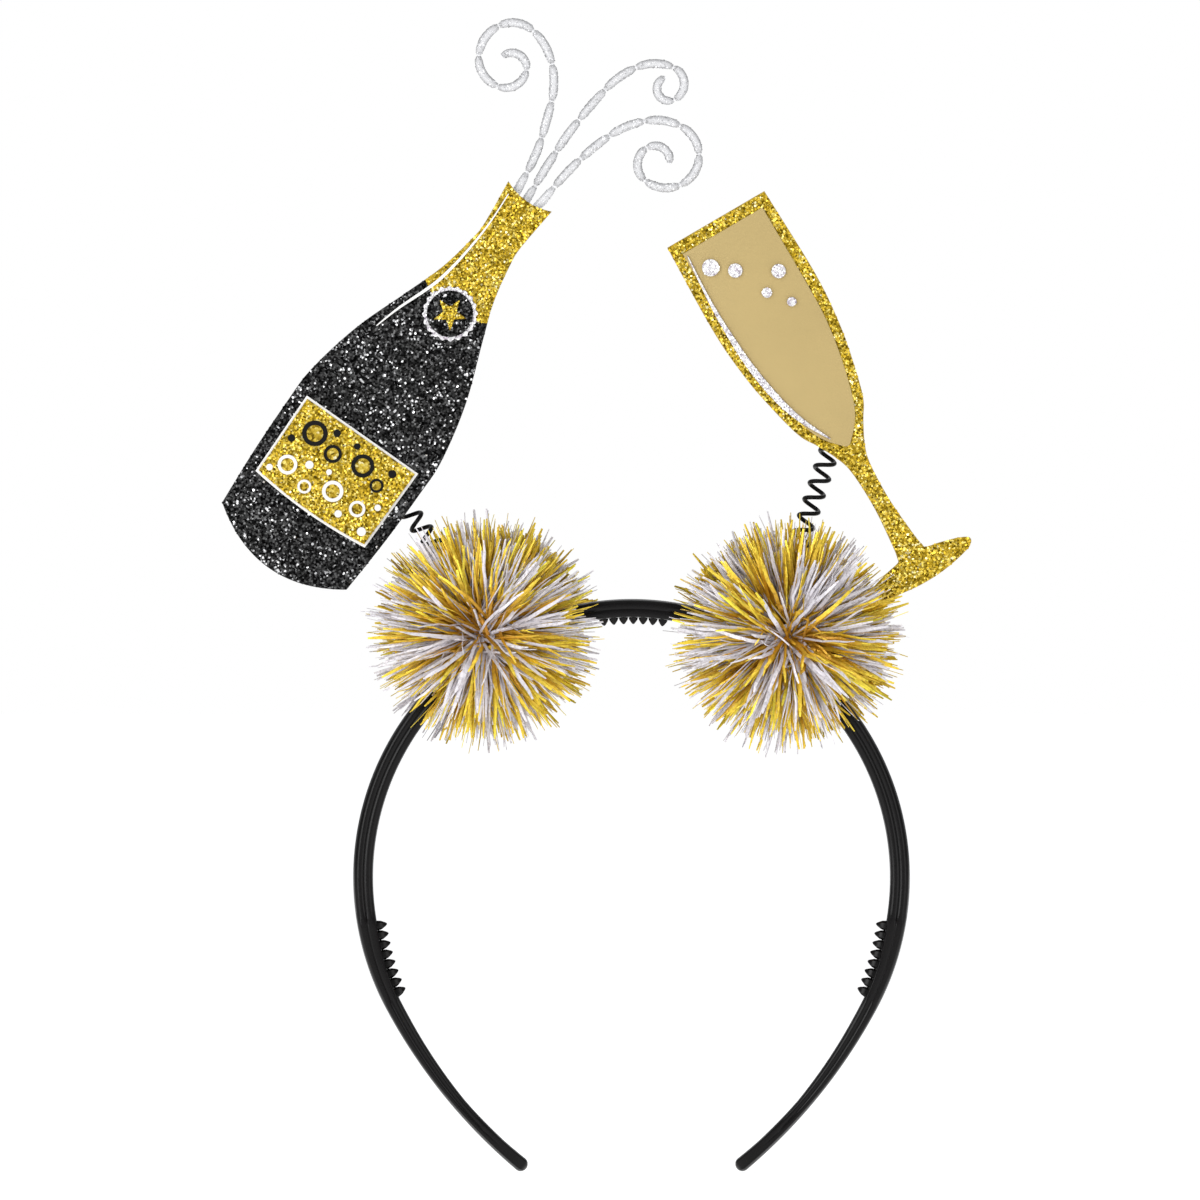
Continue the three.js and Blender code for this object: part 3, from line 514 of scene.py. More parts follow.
def pompom_strips(side, seed):
    """Root, tip, tuft number and end colour of every strip.

    Tufts burst from a tie in front and another behind. They follow each other by the golden angle round the
    depth axis, while their steepness falls evenly from nearly forwards to the slot, and a strip is turned a
    little from its tuft both round and along. Short loose strips fill the middle of each face. Fans from the
    collar fill the slot.
    """
    rng = np.random.default_rng(seed)
    middle = POMPOM_AT[side]
    number = np.arange(2 * TUFTS)
    owner = np.repeat(number, TUFT_STRIPS)
    stray = np.where(rng.random(owner.size) < STRAY_SHARE, STRAY_SPREAD, 0)
    steep = (STEEPEST + (FLATTEST - STEEPEST) * (number % TUFTS + 0.5) / TUFTS)[owner]
    turn = owner * GOLDEN_ANGLE
    turn = turn + rng.normal(0, 1, owner.size) * (TUFT_WIDE + stray) / np.sqrt(1 - steep**2)
    steep = np.clip(steep + rng.normal(0, 1, owner.size) * (TUFT_DEEP + stray), *STEEP_LIMITS)
    reach = POMPOM_RADIUS * (REACH_MOST - REACH_LOSS * rng.random(owner.size) ** REACH_LEAN)
    tufts = owner, turn, steep, reach, np.ones(owner.size)

    count = 2 * MIDDLE_STRIPS
    fillers = (
        2 * TUFTS + np.arange(count), rng.uniform(0, 2 * np.pi, count), rng.uniform(*MIDDLE_STEEP, count),
        rng.uniform(*MIDDLE_REACH, count) * POMPOM_RADIUS, rng.uniform(*MIDDLE_PAINTED_LIGHT, count),
    )
    owner, turn, steep, reach, end = (np.concatenate(pair) for pair in zip(tufts, fillers))

    facing = np.where(owner % 2, -1.0, 1.0)
    rim = np.sqrt(1 - steep**2)
    ray = np.stack([rim * np.cos(turn), facing * steep, rim * np.sin(turn)], -1)
    loose = np.where(owner < 2 * TUFTS, 0, MIDDLE_LOOSE)[:, None]
    tip = middle + ray * reach[:, None] + loose * rng.normal(0, MIDDLE_TIP, ray.shape)
    outward, above = np.sign(middle[0]) * (tip[:, 0] - middle[0]), tip[:, 2] - middle[2]
    room = np.where((outward > SLOT_INNER) & (above > SLOT_FLOOR), SLOT, BAND_ROOM)
    room = np.maximum(room + ROOM_UNEVEN * rng.random(owner.size), spring_room(side, tip))
    tip[:, 1] = facing * np.maximum(facing * tip[:, 1], room)
    root = middle + (TIE_SPREAD + loose) * rng.normal(0, 1, ray.shape)
    root = root - rng.uniform(0, TIE_DEPTH, (owner.size, 1)) * ray
    root[:, 1] = facing * (SLOT + rng.uniform(TIE_GAP, TIE_DEPTH, owner.size))

    foot, out = band_outer(SPRING_FOOT[side]), heading(SPRING_FOOT[side])
    fans = []
    for low, high, fan_reach, front, back in FANS[side]:
        angle = rng.uniform(low, high, FAN_STRIPS)
        level = rng.uniform(front, back, FAN_STRIPS)[:, None] / POMPOM_RADIUS
        spoke = np.sqrt(1 - level**2) * heading(SPRING_FOOT[side] + angle) + level * BACKWARDS
        fan_tip = middle + spoke * (fan_reach * rng.uniform(*FAN_REACH, FAN_STRIPS))[:, None]
        rise = COLLAR_GAP + COLLAR_HEIGHT * rng.uniform(*FAN_RISE, FAN_STRIPS)
        aside = np.sign(low + high) * (COLLAR_BORE + COLLAR_RADIUS) / 2
        fan_root = foot + out * rise[:, None] + sideways(out) * aside
        root_from = max(front, -FAN_ROOT)
        fan_root[:, 1] = rng.uniform(root_from, min(back, root_from + 2 * FAN_ROOT), FAN_STRIPS)
        fan_owner = owner.max() + 1 + np.floor(np.radians(angle - angle.min()) * FAN_TUFTS).astype(int)
        fans.append((fan_root, fan_tip, fan_owner, np.ones(FAN_STRIPS)))
    return [np.concatenate(parts) for parts in zip((root, tip, owner, end), *fans)]


def wound_collar(side):
    """Ring round the spring's foot: a rounded section carried round the band's normal, ribbed by winding."""
    foot, out = band_outer(SPRING_FOOT[side]), heading(SPRING_FOOT[side])
    turn, section = full_turn(144)[:, None], full_turn(16)[None, :]
    size = rounded_square(section, 3) * (1 - RIB_DEPTH * (0.5 + 0.5 * np.cos(RIBS * turn + section)))
    reach = (COLLAR_RADIUS + COLLAR_BORE) / 2 + (COLLAR_RADIUS - COLLAR_BORE) / 2 * size * np.cos(section)
    rise = COLLAR_GAP + COLLAR_HEIGHT / 2 * (1 + size * np.sin(section))
    return skin_loop(foot + reach[..., None] * round_about(out, turn) + rise[..., None] * out)


def tied_knot(side, facing):
    """Knot of a tuft: a low dome of rings about the depth axis, pleated all round."""
    middle = POMPOM_AT[side] + facing * KNOT_FACE * BACKWARDS
    turn = full_turn(96)
    pleat = 1 - PLEAT_DEPTH * (0.5 + 0.5 * np.cos(PLEATS * turn))
    reach = KNOT_RADIUS * KNOT_REACH[:, None] * pleat
    depth = np.broadcast_to(facing * KNOT_DEPTH * KNOT_RISE[:, None], reach.shape)
    return skin(middle + np.stack([reach * np.cos(turn), depth, reach * np.sin(turn)], -1))


gold_film, white_film = tinsel_film("gold_tinsel_film", 0.45), tinsel_film("white_tinsel_film", 0.12)
for side, seed in (("left", 11), ("right", 23)):
    rng = np.random.default_rng(seed + 100)
    root, tip, owner, end = pompom_strips(side, seed)
    tuft = np.arange(owner.max() + 1)
    in_wedge = tuft * GOLDEN_ANGLE / (2 * np.pi) * WEDGES % 1 < WHITE_SHARE
    keeps_wedge = (tuft < 2 * TUFTS) & (rng.random(tuft.size) < WEDGE_KEPT)
    tuft_is_white = np.where(keeps_wedge, in_wedge, rng.random(tuft.size) < WHITE_SHARE)
    mixed = rng.random(owner.size) < MIXED_SHARE
    white = np.where(mixed, rng.random(owner.size) < WHITE_SHARE, tuft_is_white[owner])
    sag = rng.normal(0, SAG, root.shape) - np.array([0, 0, SAG_DOWN])
    sag[:, 1] = SAG_INTO_DEPTH * sag[:, 1] + SAG_FORWARD * tip[:, 1] * (np.abs(tip[:, 1]) > SLOT)
    width = STRIP_WIDTH * rng.choice(STRIP_WIDTHS, owner.size, p=WIDTH_SHARES)
    rings = strips(root, tip, sag, rng.uniform(0, np.pi, owner.size), width, rng)
    tints = np.repeat(film_tints(white, end, rng)[:, :, None], 3, 2)
    for finish, chosen, film in (("gold", ~white, gold_film), ("silver", white, white_film)):
        shape = skin_many(rings[chosen])
        stands_for = f"pompom_{side}" if finish == "gold" else None
        ball = add_piece(f"pompom_{side}_{finish}", shape, [film], "headband", stands_for)
        add_tint(ball, "film_tint", tints[chosen])
    core = join(wound_collar(side), tied_knot(side, -1), tied_knot(side, 1))
    heart = add_piece(f"pompom_{side}_heart", core, [gold_film], "headband")
    # The heart takes the darkest root colour, which is painted shade, made uneven at random.
    add_tint(heart, "film_tint", np.array(GOLD_FILM_PAINTED_SHADE[0][1]) * rng.uniform(*HEART_UNEVEN, (len(core[0]), 1)))

# Bottle: die-cut foam board covered with black glitter, with a gold glitter foil and label, a scalloped seal
# with a star, and a white strip for the light on its shoulder, all glued on in thin layers.
CUTOUT_PLACE = {"bottle": (-84.1, 17.3, 35.1)}
BOARD_BACK, BOARD_THICK = -2.9, 2.4
LAYER_BACK, LAYER_THICK = (-5.4, -6.0, -6.6, -7.2), 0.5
EDGE_ROUND = 0.16
BOTTLE_SIDE = ((18.4, 0), (19.3, 14.5), (19.6, 29), (19.3, 38.8), (16.2, 53.3), (10.9, 67.9), (7.5, 77.6),
               (5.6, 87.3), (5.3, 92.1), (6.4, 103.5))
BASE_SAG, MOUTH_SAG = 6.5, 1.4
FOIL_EDGE, FOIL_SAG, FOIL_MARGIN = 72.3, 2.9, 0.2
LABEL_SIDE = ((16.2, 10.9), (16.5, 33.0))
LABEL_SAG, LABEL_BORDER = 1.1, 0.6
LABEL_BUBBLES = ((-9.6, 26.6, 3.1), (-3.2, 25.0, 2.2), (-5.2, 29.7, 0.9), (4.4, 26.8, 2.8), (9.9, 24.8, 1.7),
                 (11.4, 29.3, 1.0), (0.6, 29.9, 0.8), (-13.6, 22.4, 0.9))
LABEL_FIZZ = ((-10.7, 16.6, 2.4), (-6.3, 19.6, 1.0), (-4.3, 14.6, 1.7), (2.0, 17.6, 2.6), (6.2, 13.9, 0.9),
              (9.3, 17.5, 2.0), (13.2, 20.6, 0.8), (-1.4, 20.9, 0.7), (-13.9, 13.6, 0.8), (13.3, 13.6, 1.1))
SEAL_AT, SEAL_RADIUS, SEAL_DISC = np.array([0.5, 69.1]), 6.5, 5.6
SCALLOPS, SCALLOP_DEPTH = 20, 0.25
STAR_RADIUS, STAR_INNER = 4.1, 0.42
SHOULDER_GLINT = ((-4.6, 101), (-4.3, 92), (-5, 82.4), (-6.2, 75.1), (-7.7, 70.3), (-10.5, 63), (-12.4, 56.5))
SHOULDER_GLINT_HALF = 0.38
GLINT_TIP, GLINT_LEAN, GLINT_STEPS = 0.12, 1.25, 48
FLAKE_PITCH, FLAKE_NUDGE, FLAKE_MARGIN = 1.61, 0.3, 0.55
FLAKE_TILT, FLAKE_SIZES, FLAKE_RISE, FLAKE_SINK, FLAKE_SHINE = 0.2, (0.75, 1.25), (0.06, 0.2), 0.25, 0.15
PAINTED_GLINT_FROM, PAINTED_GLINT_CLUMPING, PAINTED_GLINT_WAVES, WAVE_SPREAD = 0.94, 0.55, 8, 0.6
UPWARDS = np.array([0.0, 0.0, 1.0])
# Glitter colours from dark to bright: the spread paints the flakes' reflections and the near-white top stops
# are painted glints; the hue is the glitter's own.
BLACK_TONES_AND_PAINTED_SHINE = ((0, (0.0003, 0.0003, 0.0003)), (0.25, (0.004, 0.004, 0.004)), (0.5, (0.019, 0.019, 0.019)),
               (0.75, (0.055, 0.055, 0.055)), (0.92, (0.13, 0.13, 0.13)), (0.95, (0.4, 0.4, 0.41)),
               (0.97, (0.9, 0.9, 0.92)), (1, (1, 1, 1)))
GOLD_TONES_AND_PAINTED_SHINE = ((0, (0.11, 0.07, 0.003)), (0.12, (0.25, 0.155, 0.006)), (0.3, (0.43, 0.28, 0.016)),
              (0.55, (0.63, 0.43, 0.04)), (0.8, (0.8, 0.59, 0.08)), (0.95, (0.93, 0.77, 0.22)),
              (1, (1, 0.93, 0.6)))
SILVER_TONES_AND_PAINTED_SHINE = ((0, (0.3, 0.25, 0.31)), (0.12, (0.56, 0.5, 0.57)), (0.3, (0.8, 0.77, 0.81)),
                (0.6, (0.94, 0.93, 0.94)), (1, (1, 1, 1)))


def curve_through(points, count, start=0.0):
    """A smooth curve through points: between two of them it leaves and arrives along neighbours' chords."""
    points = np.asarray(points, float)
    last = len(points) - 1
    at = np.linspace(start, 1, count) * last
    k = np.minimum(at.astype(int), last - 1)
    t = (at - k)[:, None]
    before, here, after, beyond = (points[np.clip(k + step, 0, last)] for step in (-1, 0, 1, 2))
    leave, arrive = (after - before) / 2, (beyond - here) / 2
    cubic = 2 * here - 2 * after + leave + arrive
    square = 3 * after - 3 * here - 2 * leave - arrive
    return cubic * t**3 + square * t**2 + leave * t + here


def cut_outline(right, bottom_rise, top_rise):
    """Closed outline from a right side, its mirror image, and shallow arcs across the bottom and the top."""
    left = right[::-1] * [-1, 1]
    t = np.linspace(0, 1, 42)[1:-1, None]

    def across(start, end, rise):
        return start + t * (end - start) + np.concatenate([0 * t, rise * 4 * t * (1 - t)], 1)

    top, bottom = across(right[-1], left[0], top_rise), across(left[-1], right[0], bottom_rise)
    return np.concatenate([right, top, left, bottom])


def inset(outline, distance):
    """The outline moved inwards: each point goes along the mean normal of its two sides."""
    x, y = unit(np.roll(outline, -1, 0) - np.roll(outline, 1, 0)).T
    return outline + distance * np.stack([-y, x], -1)


def inside(points, outline):
    """True for points within an outline: a line to the right of one crosses it an odd number of times."""
    x, y = points[:, :1], points[:, 1:]
    (x0, y0), (x1, y1) = outline.T, np.roll(outline, -1, 0).T
    crosses = (y0 > y) != (y1 > y)
    where = x0 + (y - y0) / np.where(y1 == y0, 1e-12, y1 - y0) * (x1 - x0)
    return np.sum(crosses & (x < where), axis=1) % 2 == 1


def cut_sheet(outline, back, front, rounding):
    """A flat sheet cut to an outline, its edge rounded by a quarter arc in front and another at the back."""
    arc = np.linspace(0, np.pi / 2, 4)
    rise, run = rounding * (1 - np.sin(arc)), rounding * (1 - np.cos(arc))
    moved = np.concatenate([rise, run])
    depth = np.concatenate([back - run, front + rise])
    return skin(np.stack([np.insert(inset(outline, m), 1, d, axis=1) for m, d in zip(moved, depth)]))


def flakes(places, normals, size, rng):
    """Glitter flakes: hexagons with a shallow point under each, which sinks into the glue.

    Each is turned at random about its normal and tilted a little from it.
    """
    count = len(places)
    lean = unit(normals + rng.normal(0, FLAKE_TILT, normals.shape))
    across, level = square_to(lean, UPWARDS)
    angle = (rng.uniform(0, np.pi / 3, (count, 1)) + full_turn(6))[..., None]
    radius = size * rng.uniform(*FLAKE_SIZES, (count, 1, 1))
    rim = radius * (np.cos(angle) * across[:, None] + np.sin(angle) * level[:, None])
    rim = rim + (places + normals * rng.uniform(*FLAKE_RISE, (count, 1)))[:, None]
    point = (places - FLAKE_SINK * size * normals)[:, None]
    start = (np.arange(count) * 7)[:, None]
    tops = start + np.arange(6)
    cones = np.stack([np.arange(1, 7) % 6, np.arange(6), np.full(6, 6)], -1) + start[..., None]
    return np.concatenate([rim, point], 1).reshape(-1, 3), tops.tolist() + cones.reshape(-1, 3).tolist()


def scatter(outline, pitch, margin, rng, covered):
    """Places for flakes in an outline: a net of triangles, each corner nudged, without what is covered."""
    low, high = outline.min(0), outline.max(0)
    row = np.arange(low[1], high[1] + pitch, pitch * np.sqrt(3) / 2)
    column = np.arange(low[0] - pitch, high[0] + pitch, pitch)
    x, y = np.meshgrid(column, row)
    x = x + (np.arange(row.size)[:, None] % 2) * pitch / 2
    places = np.stack([x, y], -1).reshape(-1, 2)
    places = places + rng.uniform(-FLAKE_NUDGE, FLAKE_NUDGE, places.shape) * pitch
    kept = inside(places, inset(outline, margin))
    for cover in covered:
        kept &= ~inside(places, cover)
    return places[kept]


def cells(node, scale):
    """Closed cells that stay with the piece: a colour at random in each, and the distance from its middle."""
    place = node("ShaderNodeTexCoord").outputs["Object"]
    return node("ShaderNodeTexVoronoi", Vector=place, Scale=scale).outputs


def flake_film(name, metallic, roughness):
    """Film that glitter flakes are punched from, with a colour for each flake that carries painted
    reflection.
    """
    material, _, node, feed = new_material(name, roughness, metallic, FLAKE_SHINE)
    feed("Base Color", node("ShaderNodeAttribute", {"attribute_name": "flake_tint"}).outputs["Color"])
    return material


def glitter(slot, stops, metallic, roughness, painted_glint_share):
    """A glitter: its slot, flakes, the bed of fine grains under them, colours with painted reflection, and
    share of painted glints.
    """
    flake = flake_film(f"{slot}_flakes", metallic, roughness)
    bed, _, node, feed = new_material(f"{slot}_bed", roughness + 0.15, metallic * 0.6, FLAKE_SHINE)
    grain = cells(node, 1700.0)
    value = node("ShaderNodeSeparateColor", Color=grain["Color"]).outputs["Red"]
    feed("Base Color", ramp(node, value, [(at, toned(colour, 0.8)) for at, colour in stops]))
    emboss(node, feed, grain["Distance"], 0.6, 0.0002)
    return slot, flake, bed, stops, painted_glint_share


def foam(name, colour):
    """Foam board: matt, with closed cells about a third of a millimetre across."""
    material, _, node, feed = new_material(name, 0.82)
    mottle(node, feed, noise(node, 90.0, 4.0), colour, 0.85, 1.12)
    emboss(node, feed, cells(node, 3000.0)["Distance"], 0.5, 0.0001)
    return material


def card(name, colour, shine=0.5):
    """Coated card: an even colour with a faint mottle, and short fibres in the surface."""
    material, _, node, feed = new_material(name, 0.55, shine=shine)
    mottle(node, feed, noise(node, 45.0, 5.0), colour, 0.95, 1.03)
    emboss(node, feed, noise(node, 2200.0, 2.0), 0.1, 0.0001)
    return material


def stand_at(shape, cutout):
    """Turns a shape from a cut-out's upright frame to its lean and moves it to its place on the bopper."""
    points, faces = shape
    x, z, lean = CUTOUT_PLACE[cutout]
    turn = np.radians(lean)
    u, depth, up = points.T
    moved = [x + u * np.cos(turn) + up * np.sin(turn), depth, z - u * np.sin(turn) + up * np.cos(turn)]
    return np.stack(moved, -1), faces


def drift(places, rng):
    """A smooth field over a sheet, by which painted glints lie thicker in some spots: a sum of random waves.
    """
    wave = rng.normal(0, WAVE_SPREAD, (PAINTED_GLINT_WAVES, 2))
    return np.cos(places @ wave.T + rng.uniform(0, 2 * np.pi, PAINTED_GLINT_WAVES)).sum(1) / 2


def add_cutting(name, outline, cutout, finish, layer, size, seed,
                covered=(), rounding=EDGE_ROUND, board=None):
    """A sheet cut to an outline, with glitter in front: a layer, or a board whose back and edge are foam."""
    rng = np.random.default_rng(seed)
    slot, flake_finish, bed_finish, stops, painted_glint_share = finish
    back, thick = (BOARD_BACK, BOARD_THICK) if board else (LAYER_BACK[layer], LAYER_THICK)
    front = back - thick
    sheet = cut_sheet(outline, back, front, rounding)
    spots = scatter(outline, FLAKE_PITCH * size, FLAKE_MARGIN * size, rng, covered)
    places = np.insert(spots, 1, front, axis=1)
    bits = flakes(places, np.broadcast_to(-BACKWARDS, places.shape), size, rng)
    part = np.concatenate([np.full(len(sheet[1]), 1), np.zeros(len(bits[1]))])
    materials = [flake_finish, bed_finish]
    if board:
        materials.append(board)
        part[:len(sheet[1]) - 1] = 2
    whole = stand_at(join(sheet, bits), cutout)
    piece = add_piece(f"{name}_glitter", whole, materials, cutout, name, part, 25)
    # Painted reflection: each flake gets a colour from dark to bright, and a share near white as painted
    # glints clumped by drift, on top of its real tilt.
    shine = PAINTED_GLINT_FROM * rng.random(len(places))
    painted_glints = rng.random(len(places)) < painted_glint_share * np.exp(PAINTED_GLINT_CLUMPING * drift(spots, rng))
    shine[painted_glints] = rng.uniform(PAINTED_GLINT_FROM, 1, np.count_nonzero(painted_glints))
    tints = np.repeat(tint_by(stops, shine), 7, 0)
    add_tint(piece, "flake_tint", np.concatenate([np.full((len(sheet[0]), 3), 0.1), tints]))


def add_card(name, outline, cutout, finish, layer, rounding=EDGE_ROUND):
    """A layer of plain card cut to an outline."""
    sheet = cut_sheet(outline, LAYER_BACK[layer], LAYER_BACK[layer] - LAYER_THICK, rounding)
    add_piece(f"{name}_card", stand_at(sheet, cutout), [finish], cutout, name)


def spokes(middle, radius, turn):
    """Points round a middle, each at its own radius and angle."""
    return middle + np.stack([radius * np.cos(turn), radius * np.sin(turn)], -1)


def disc(middle, radius, count=48):
    """A circle of points about a middle."""
    return spokes(np.array(middle), radius, full_turn(count))


def glint_outline(path, half):
    """A strip along a curve that runs down, widest past its middle and nearly pointed at both ends."""
    spine = curve_through(path, GLINT_STEPS)
    x, y = unit(np.gradient(spine, axis=0)).T
    share = np.linspace(0, 1, GLINT_STEPS)[:, None]
    reach = GLINT_TIP + (half - GLINT_TIP) * np.sin(np.pi * share**GLINT_LEAN)
    across = np.stack([-y, x], -1) * reach
    return np.concatenate([spine - across, (spine + across)[::-1]])


def label_outline(border):
    """The label: two nearly upright sides, a level top and a bottom that sags a little, inset by a border."""
    (low_half, low), (high_half, high) = LABEL_SIDE
    right = np.linspace((low_half - border, low + border), (high_half - border, high - border), 30)
    return cut_outline(right, -LABEL_SAG, 0)


black_glitter = glitter("black_glitter", BLACK_TONES_AND_PAINTED_SHINE, 0.9, 0.33, 0.045)
gold_glitter = glitter("gold_glitter", GOLD_TONES_AND_PAINTED_SHINE, 1.0, 0.3, 0.035)
silver_glitter = glitter("silver_glitter", SILVER_TONES_AND_PAINTED_SHINE, 0.45, 0.3, 0.2)
black_foam, white_card = foam("black_foam", (0.012, 0.012, 0.012)), card("white_card", (0.9, 0.89, 0.87))

bottle_side = curve_through(BOTTLE_SIDE, 180)
bottle_outline = cut_outline(bottle_side, -BASE_SAG, -MOUTH_SAG)
foil_outline = cut_outline(bottle_side[bottle_side[:, 1] > FOIL_EDGE], -FOIL_SAG, -MOUTH_SAG)
label_edge, label_face = label_outline(0), label_outline(LABEL_BORDER)
scallop_turn = full_turn(SCALLOPS * 10)
seal_edge = spokes(SEAL_AT, SEAL_RADIUS + SCALLOP_DEPTH * np.cos(SCALLOPS * scallop_turn), scallop_turn)
seal_face = disc(SEAL_AT, SEAL_DISC, 72)
star_radius = STAR_RADIUS * np.where(np.arange(10) % 2, STAR_INNER, 1.0)
star_outline = spokes(SEAL_AT, star_radius, np.pi / 2 + full_turn(10))
shoulder_glint = glint_outline(SHOULDER_GLINT, SHOULDER_GLINT_HALF)
bubble_marks = [disc((u, up), radius + 0.2, 32) for u, up, radius in LABEL_BUBBLES + LABEL_FIZZ]

on_bottle = (inset(foil_outline, -FOIL_MARGIN), label_edge, seal_edge, shoulder_glint)
add_cutting("bottle_board", bottle_outline, "bottle", black_glitter, None, 0.3, 3, on_bottle,
            board=black_foam)
add_cutting("neck_foil", foil_outline, "bottle", gold_glitter, 0, 0.28, 4, (seal_edge, shoulder_glint))
add_card("label_border", label_edge, "bottle", white_card, 0)
add_cutting("label_panel", label_face, "bottle", gold_glitter, 1, 0.28, 5, bubble_marks)
add_cutting("seal_scallop", seal_edge, "bottle", silver_glitter, 1, 0.22, 6, (seal_face,), 0.08)
add_cutting("seal_disc", seal_face, "bottle", black_glitter, 2, 0.28, 7, (star_outline,))
add_cutting("seal_star", star_outline, "bottle", gold_glitter, 3, 0.2, 8, rounding=0.06)
add_card("shoulder_glint", shoulder_glint, "bottle", white_card, 1, 0.05)

# Label print: rings and dots like rising bubbles, in thick black ink above and white ink below.
PRINT_THICK, PRINT_LINE, PRINT_EDGE = 0.3, 0.34, 0.06
RING_FROM, DOT_HOLE = 1.5, 0.02


def printed_mark(u, up, radius):
    """A printed bubble: a ring with a rounded section where it is large, and a low dot where it is small."""
    turn = full_turn(48)[:, None]
    hole = radius * (1 - PRINT_LINE) if radius > RING_FROM else DOT_HOLE
    reach = np.array([hole, hole + PRINT_EDGE, radius - PRINT_EDGE, radius, radius, hole])
    height = PRINT_THICK * np.array([0.8, 1.0, 1.0, 0.8, -0.3, -0.3])
    depth = np.broadcast_to(LAYER_BACK[1] - LAYER_THICK - height, (turn.size, height.size))
    return skin_loop(np.stack([u + reach * np.cos(turn), depth, up + reach * np.sin(turn)], -1))


for name, marks, ink, slot in (
    ("label_bubbles", LABEL_BUBBLES, card("black_ink", (0.008, 0.008, 0.008), 0.1), "black_glitter"),
    ("label_fizz", LABEL_FIZZ, card("white_ink", (0.86, 0.85, 0.83)), "white_card"),
):
    print_shape = stand_at(join(*[printed_mark(*mark) for mark in marks]), "bottle")
    add_piece(name, print_shape, [ink], "bottle")

# Spray: three wires wrapped in silver glitter and pinched into dashes, curled at the end and glued behind
# the mouth. A row has where a wire starts, its first heading, and each dash's length and turn.
SPRAY_DEPTH = -1.7
SPRAYS = {
    "spray_left": ((-2.9, 95.6), -2.9, (
        (12.4, -4), (9.1, -11), (9.1, -4), (9.1, -25), (9.4, -35), (9, -70), (9, -58), (9.4, -73),
        (9.2, -103), (8.9, -141))),
    "spray_middle": ((-0.1, 95.5), -0.3, (
        (10.9, -4), (9.8, 2), (9.4, 6), (9.6, 4), (9.3, 23), (9.3, 47), (9.9, 131), (9.6, 189))),
    "spray_right": ((1.9, 96.3), 9.6, (
        (12.7, -5), (9.2, 7), (9, 9), (9.2, 23), (8.9, 37), (8.7, 61), (9.4, 70), (9, 62), (9.2, 109),
        (8.5, 134))),
}
DASH_HALF, DASH_NECK, DASH_BULGE, DASH_GAP, DASH_ROUND = 1.06, 0.36, 0.24, 0.02, 0.18
STEPS_PER_DASH, WIRE_SIDES = 26, 14
FLAKES_PER_DASH, SPRAY_FLAKE, FLAKE_SUNK = 190, 0.2, 0.12
SPRAY_GREY, FLAKE_GREYS_PAINTED_SHINE = np.array([0.98, 0.98, 1.0]), (0.5, 0.72, 0.85, 1.1)
# Painted shade darkens the sides and ends of each dash, and painted light lightens the first dash by the
# mouth; the neck and dash tones are the wire's own.
NECK_LIGHT, DASH_DARKER, RIM_PAINTED_SHADE, RIM_FADES, ROOT_PAINTED_LIGHT = 0.97, 0.27, 0.38, 0.8, 0.27
DASH_END_PAINTED_SHADE, TAPER_PAINTED_SHADE = 3.2, 0.8
FLAKE_RIM_PAINTED_SHADE, FLAKE_ROOT_PAINTED_LIGHT = 0.5, 0.4
spray_film = flake_film("spray_glitter_flakes", 0.1, 0.45)


def spray_line(start, first_heading, dashes):
    """Centre points, headings, swell and bulge of a wire, whose dashes turn evenly and add up along it.

    The swell rounds a dash's ends, and the bulge is 1 halfway along it and 0 at both ends.
    """
    length, turn = np.repeat(np.array(dashes, float), STEPS_PER_DASH, 0).T / STEPS_PER_DASH
    angle = first_heading + np.append(0, np.cumsum(turn))
    moves = length[:, None] * heading((angle[1:] + angle[:-1]) / 2)
    spine = np.insert(start, 1, SPRAY_DEPTH) + np.concatenate([np.zeros((1, 3)), np.cumsum(moves, 0)])
    within = np.append(np.tile(np.arange(STEPS_PER_DASH) / STEPS_PER_DASH, len(dashes)), 1.0)
    swell = np.clip((np.minimum(within, 1 - within) - DASH_GAP) / DASH_ROUND, 0, 1)
    return spine, heading(angle), np.sqrt(swell * (2 - swell)), np.sin(np.pi * within)


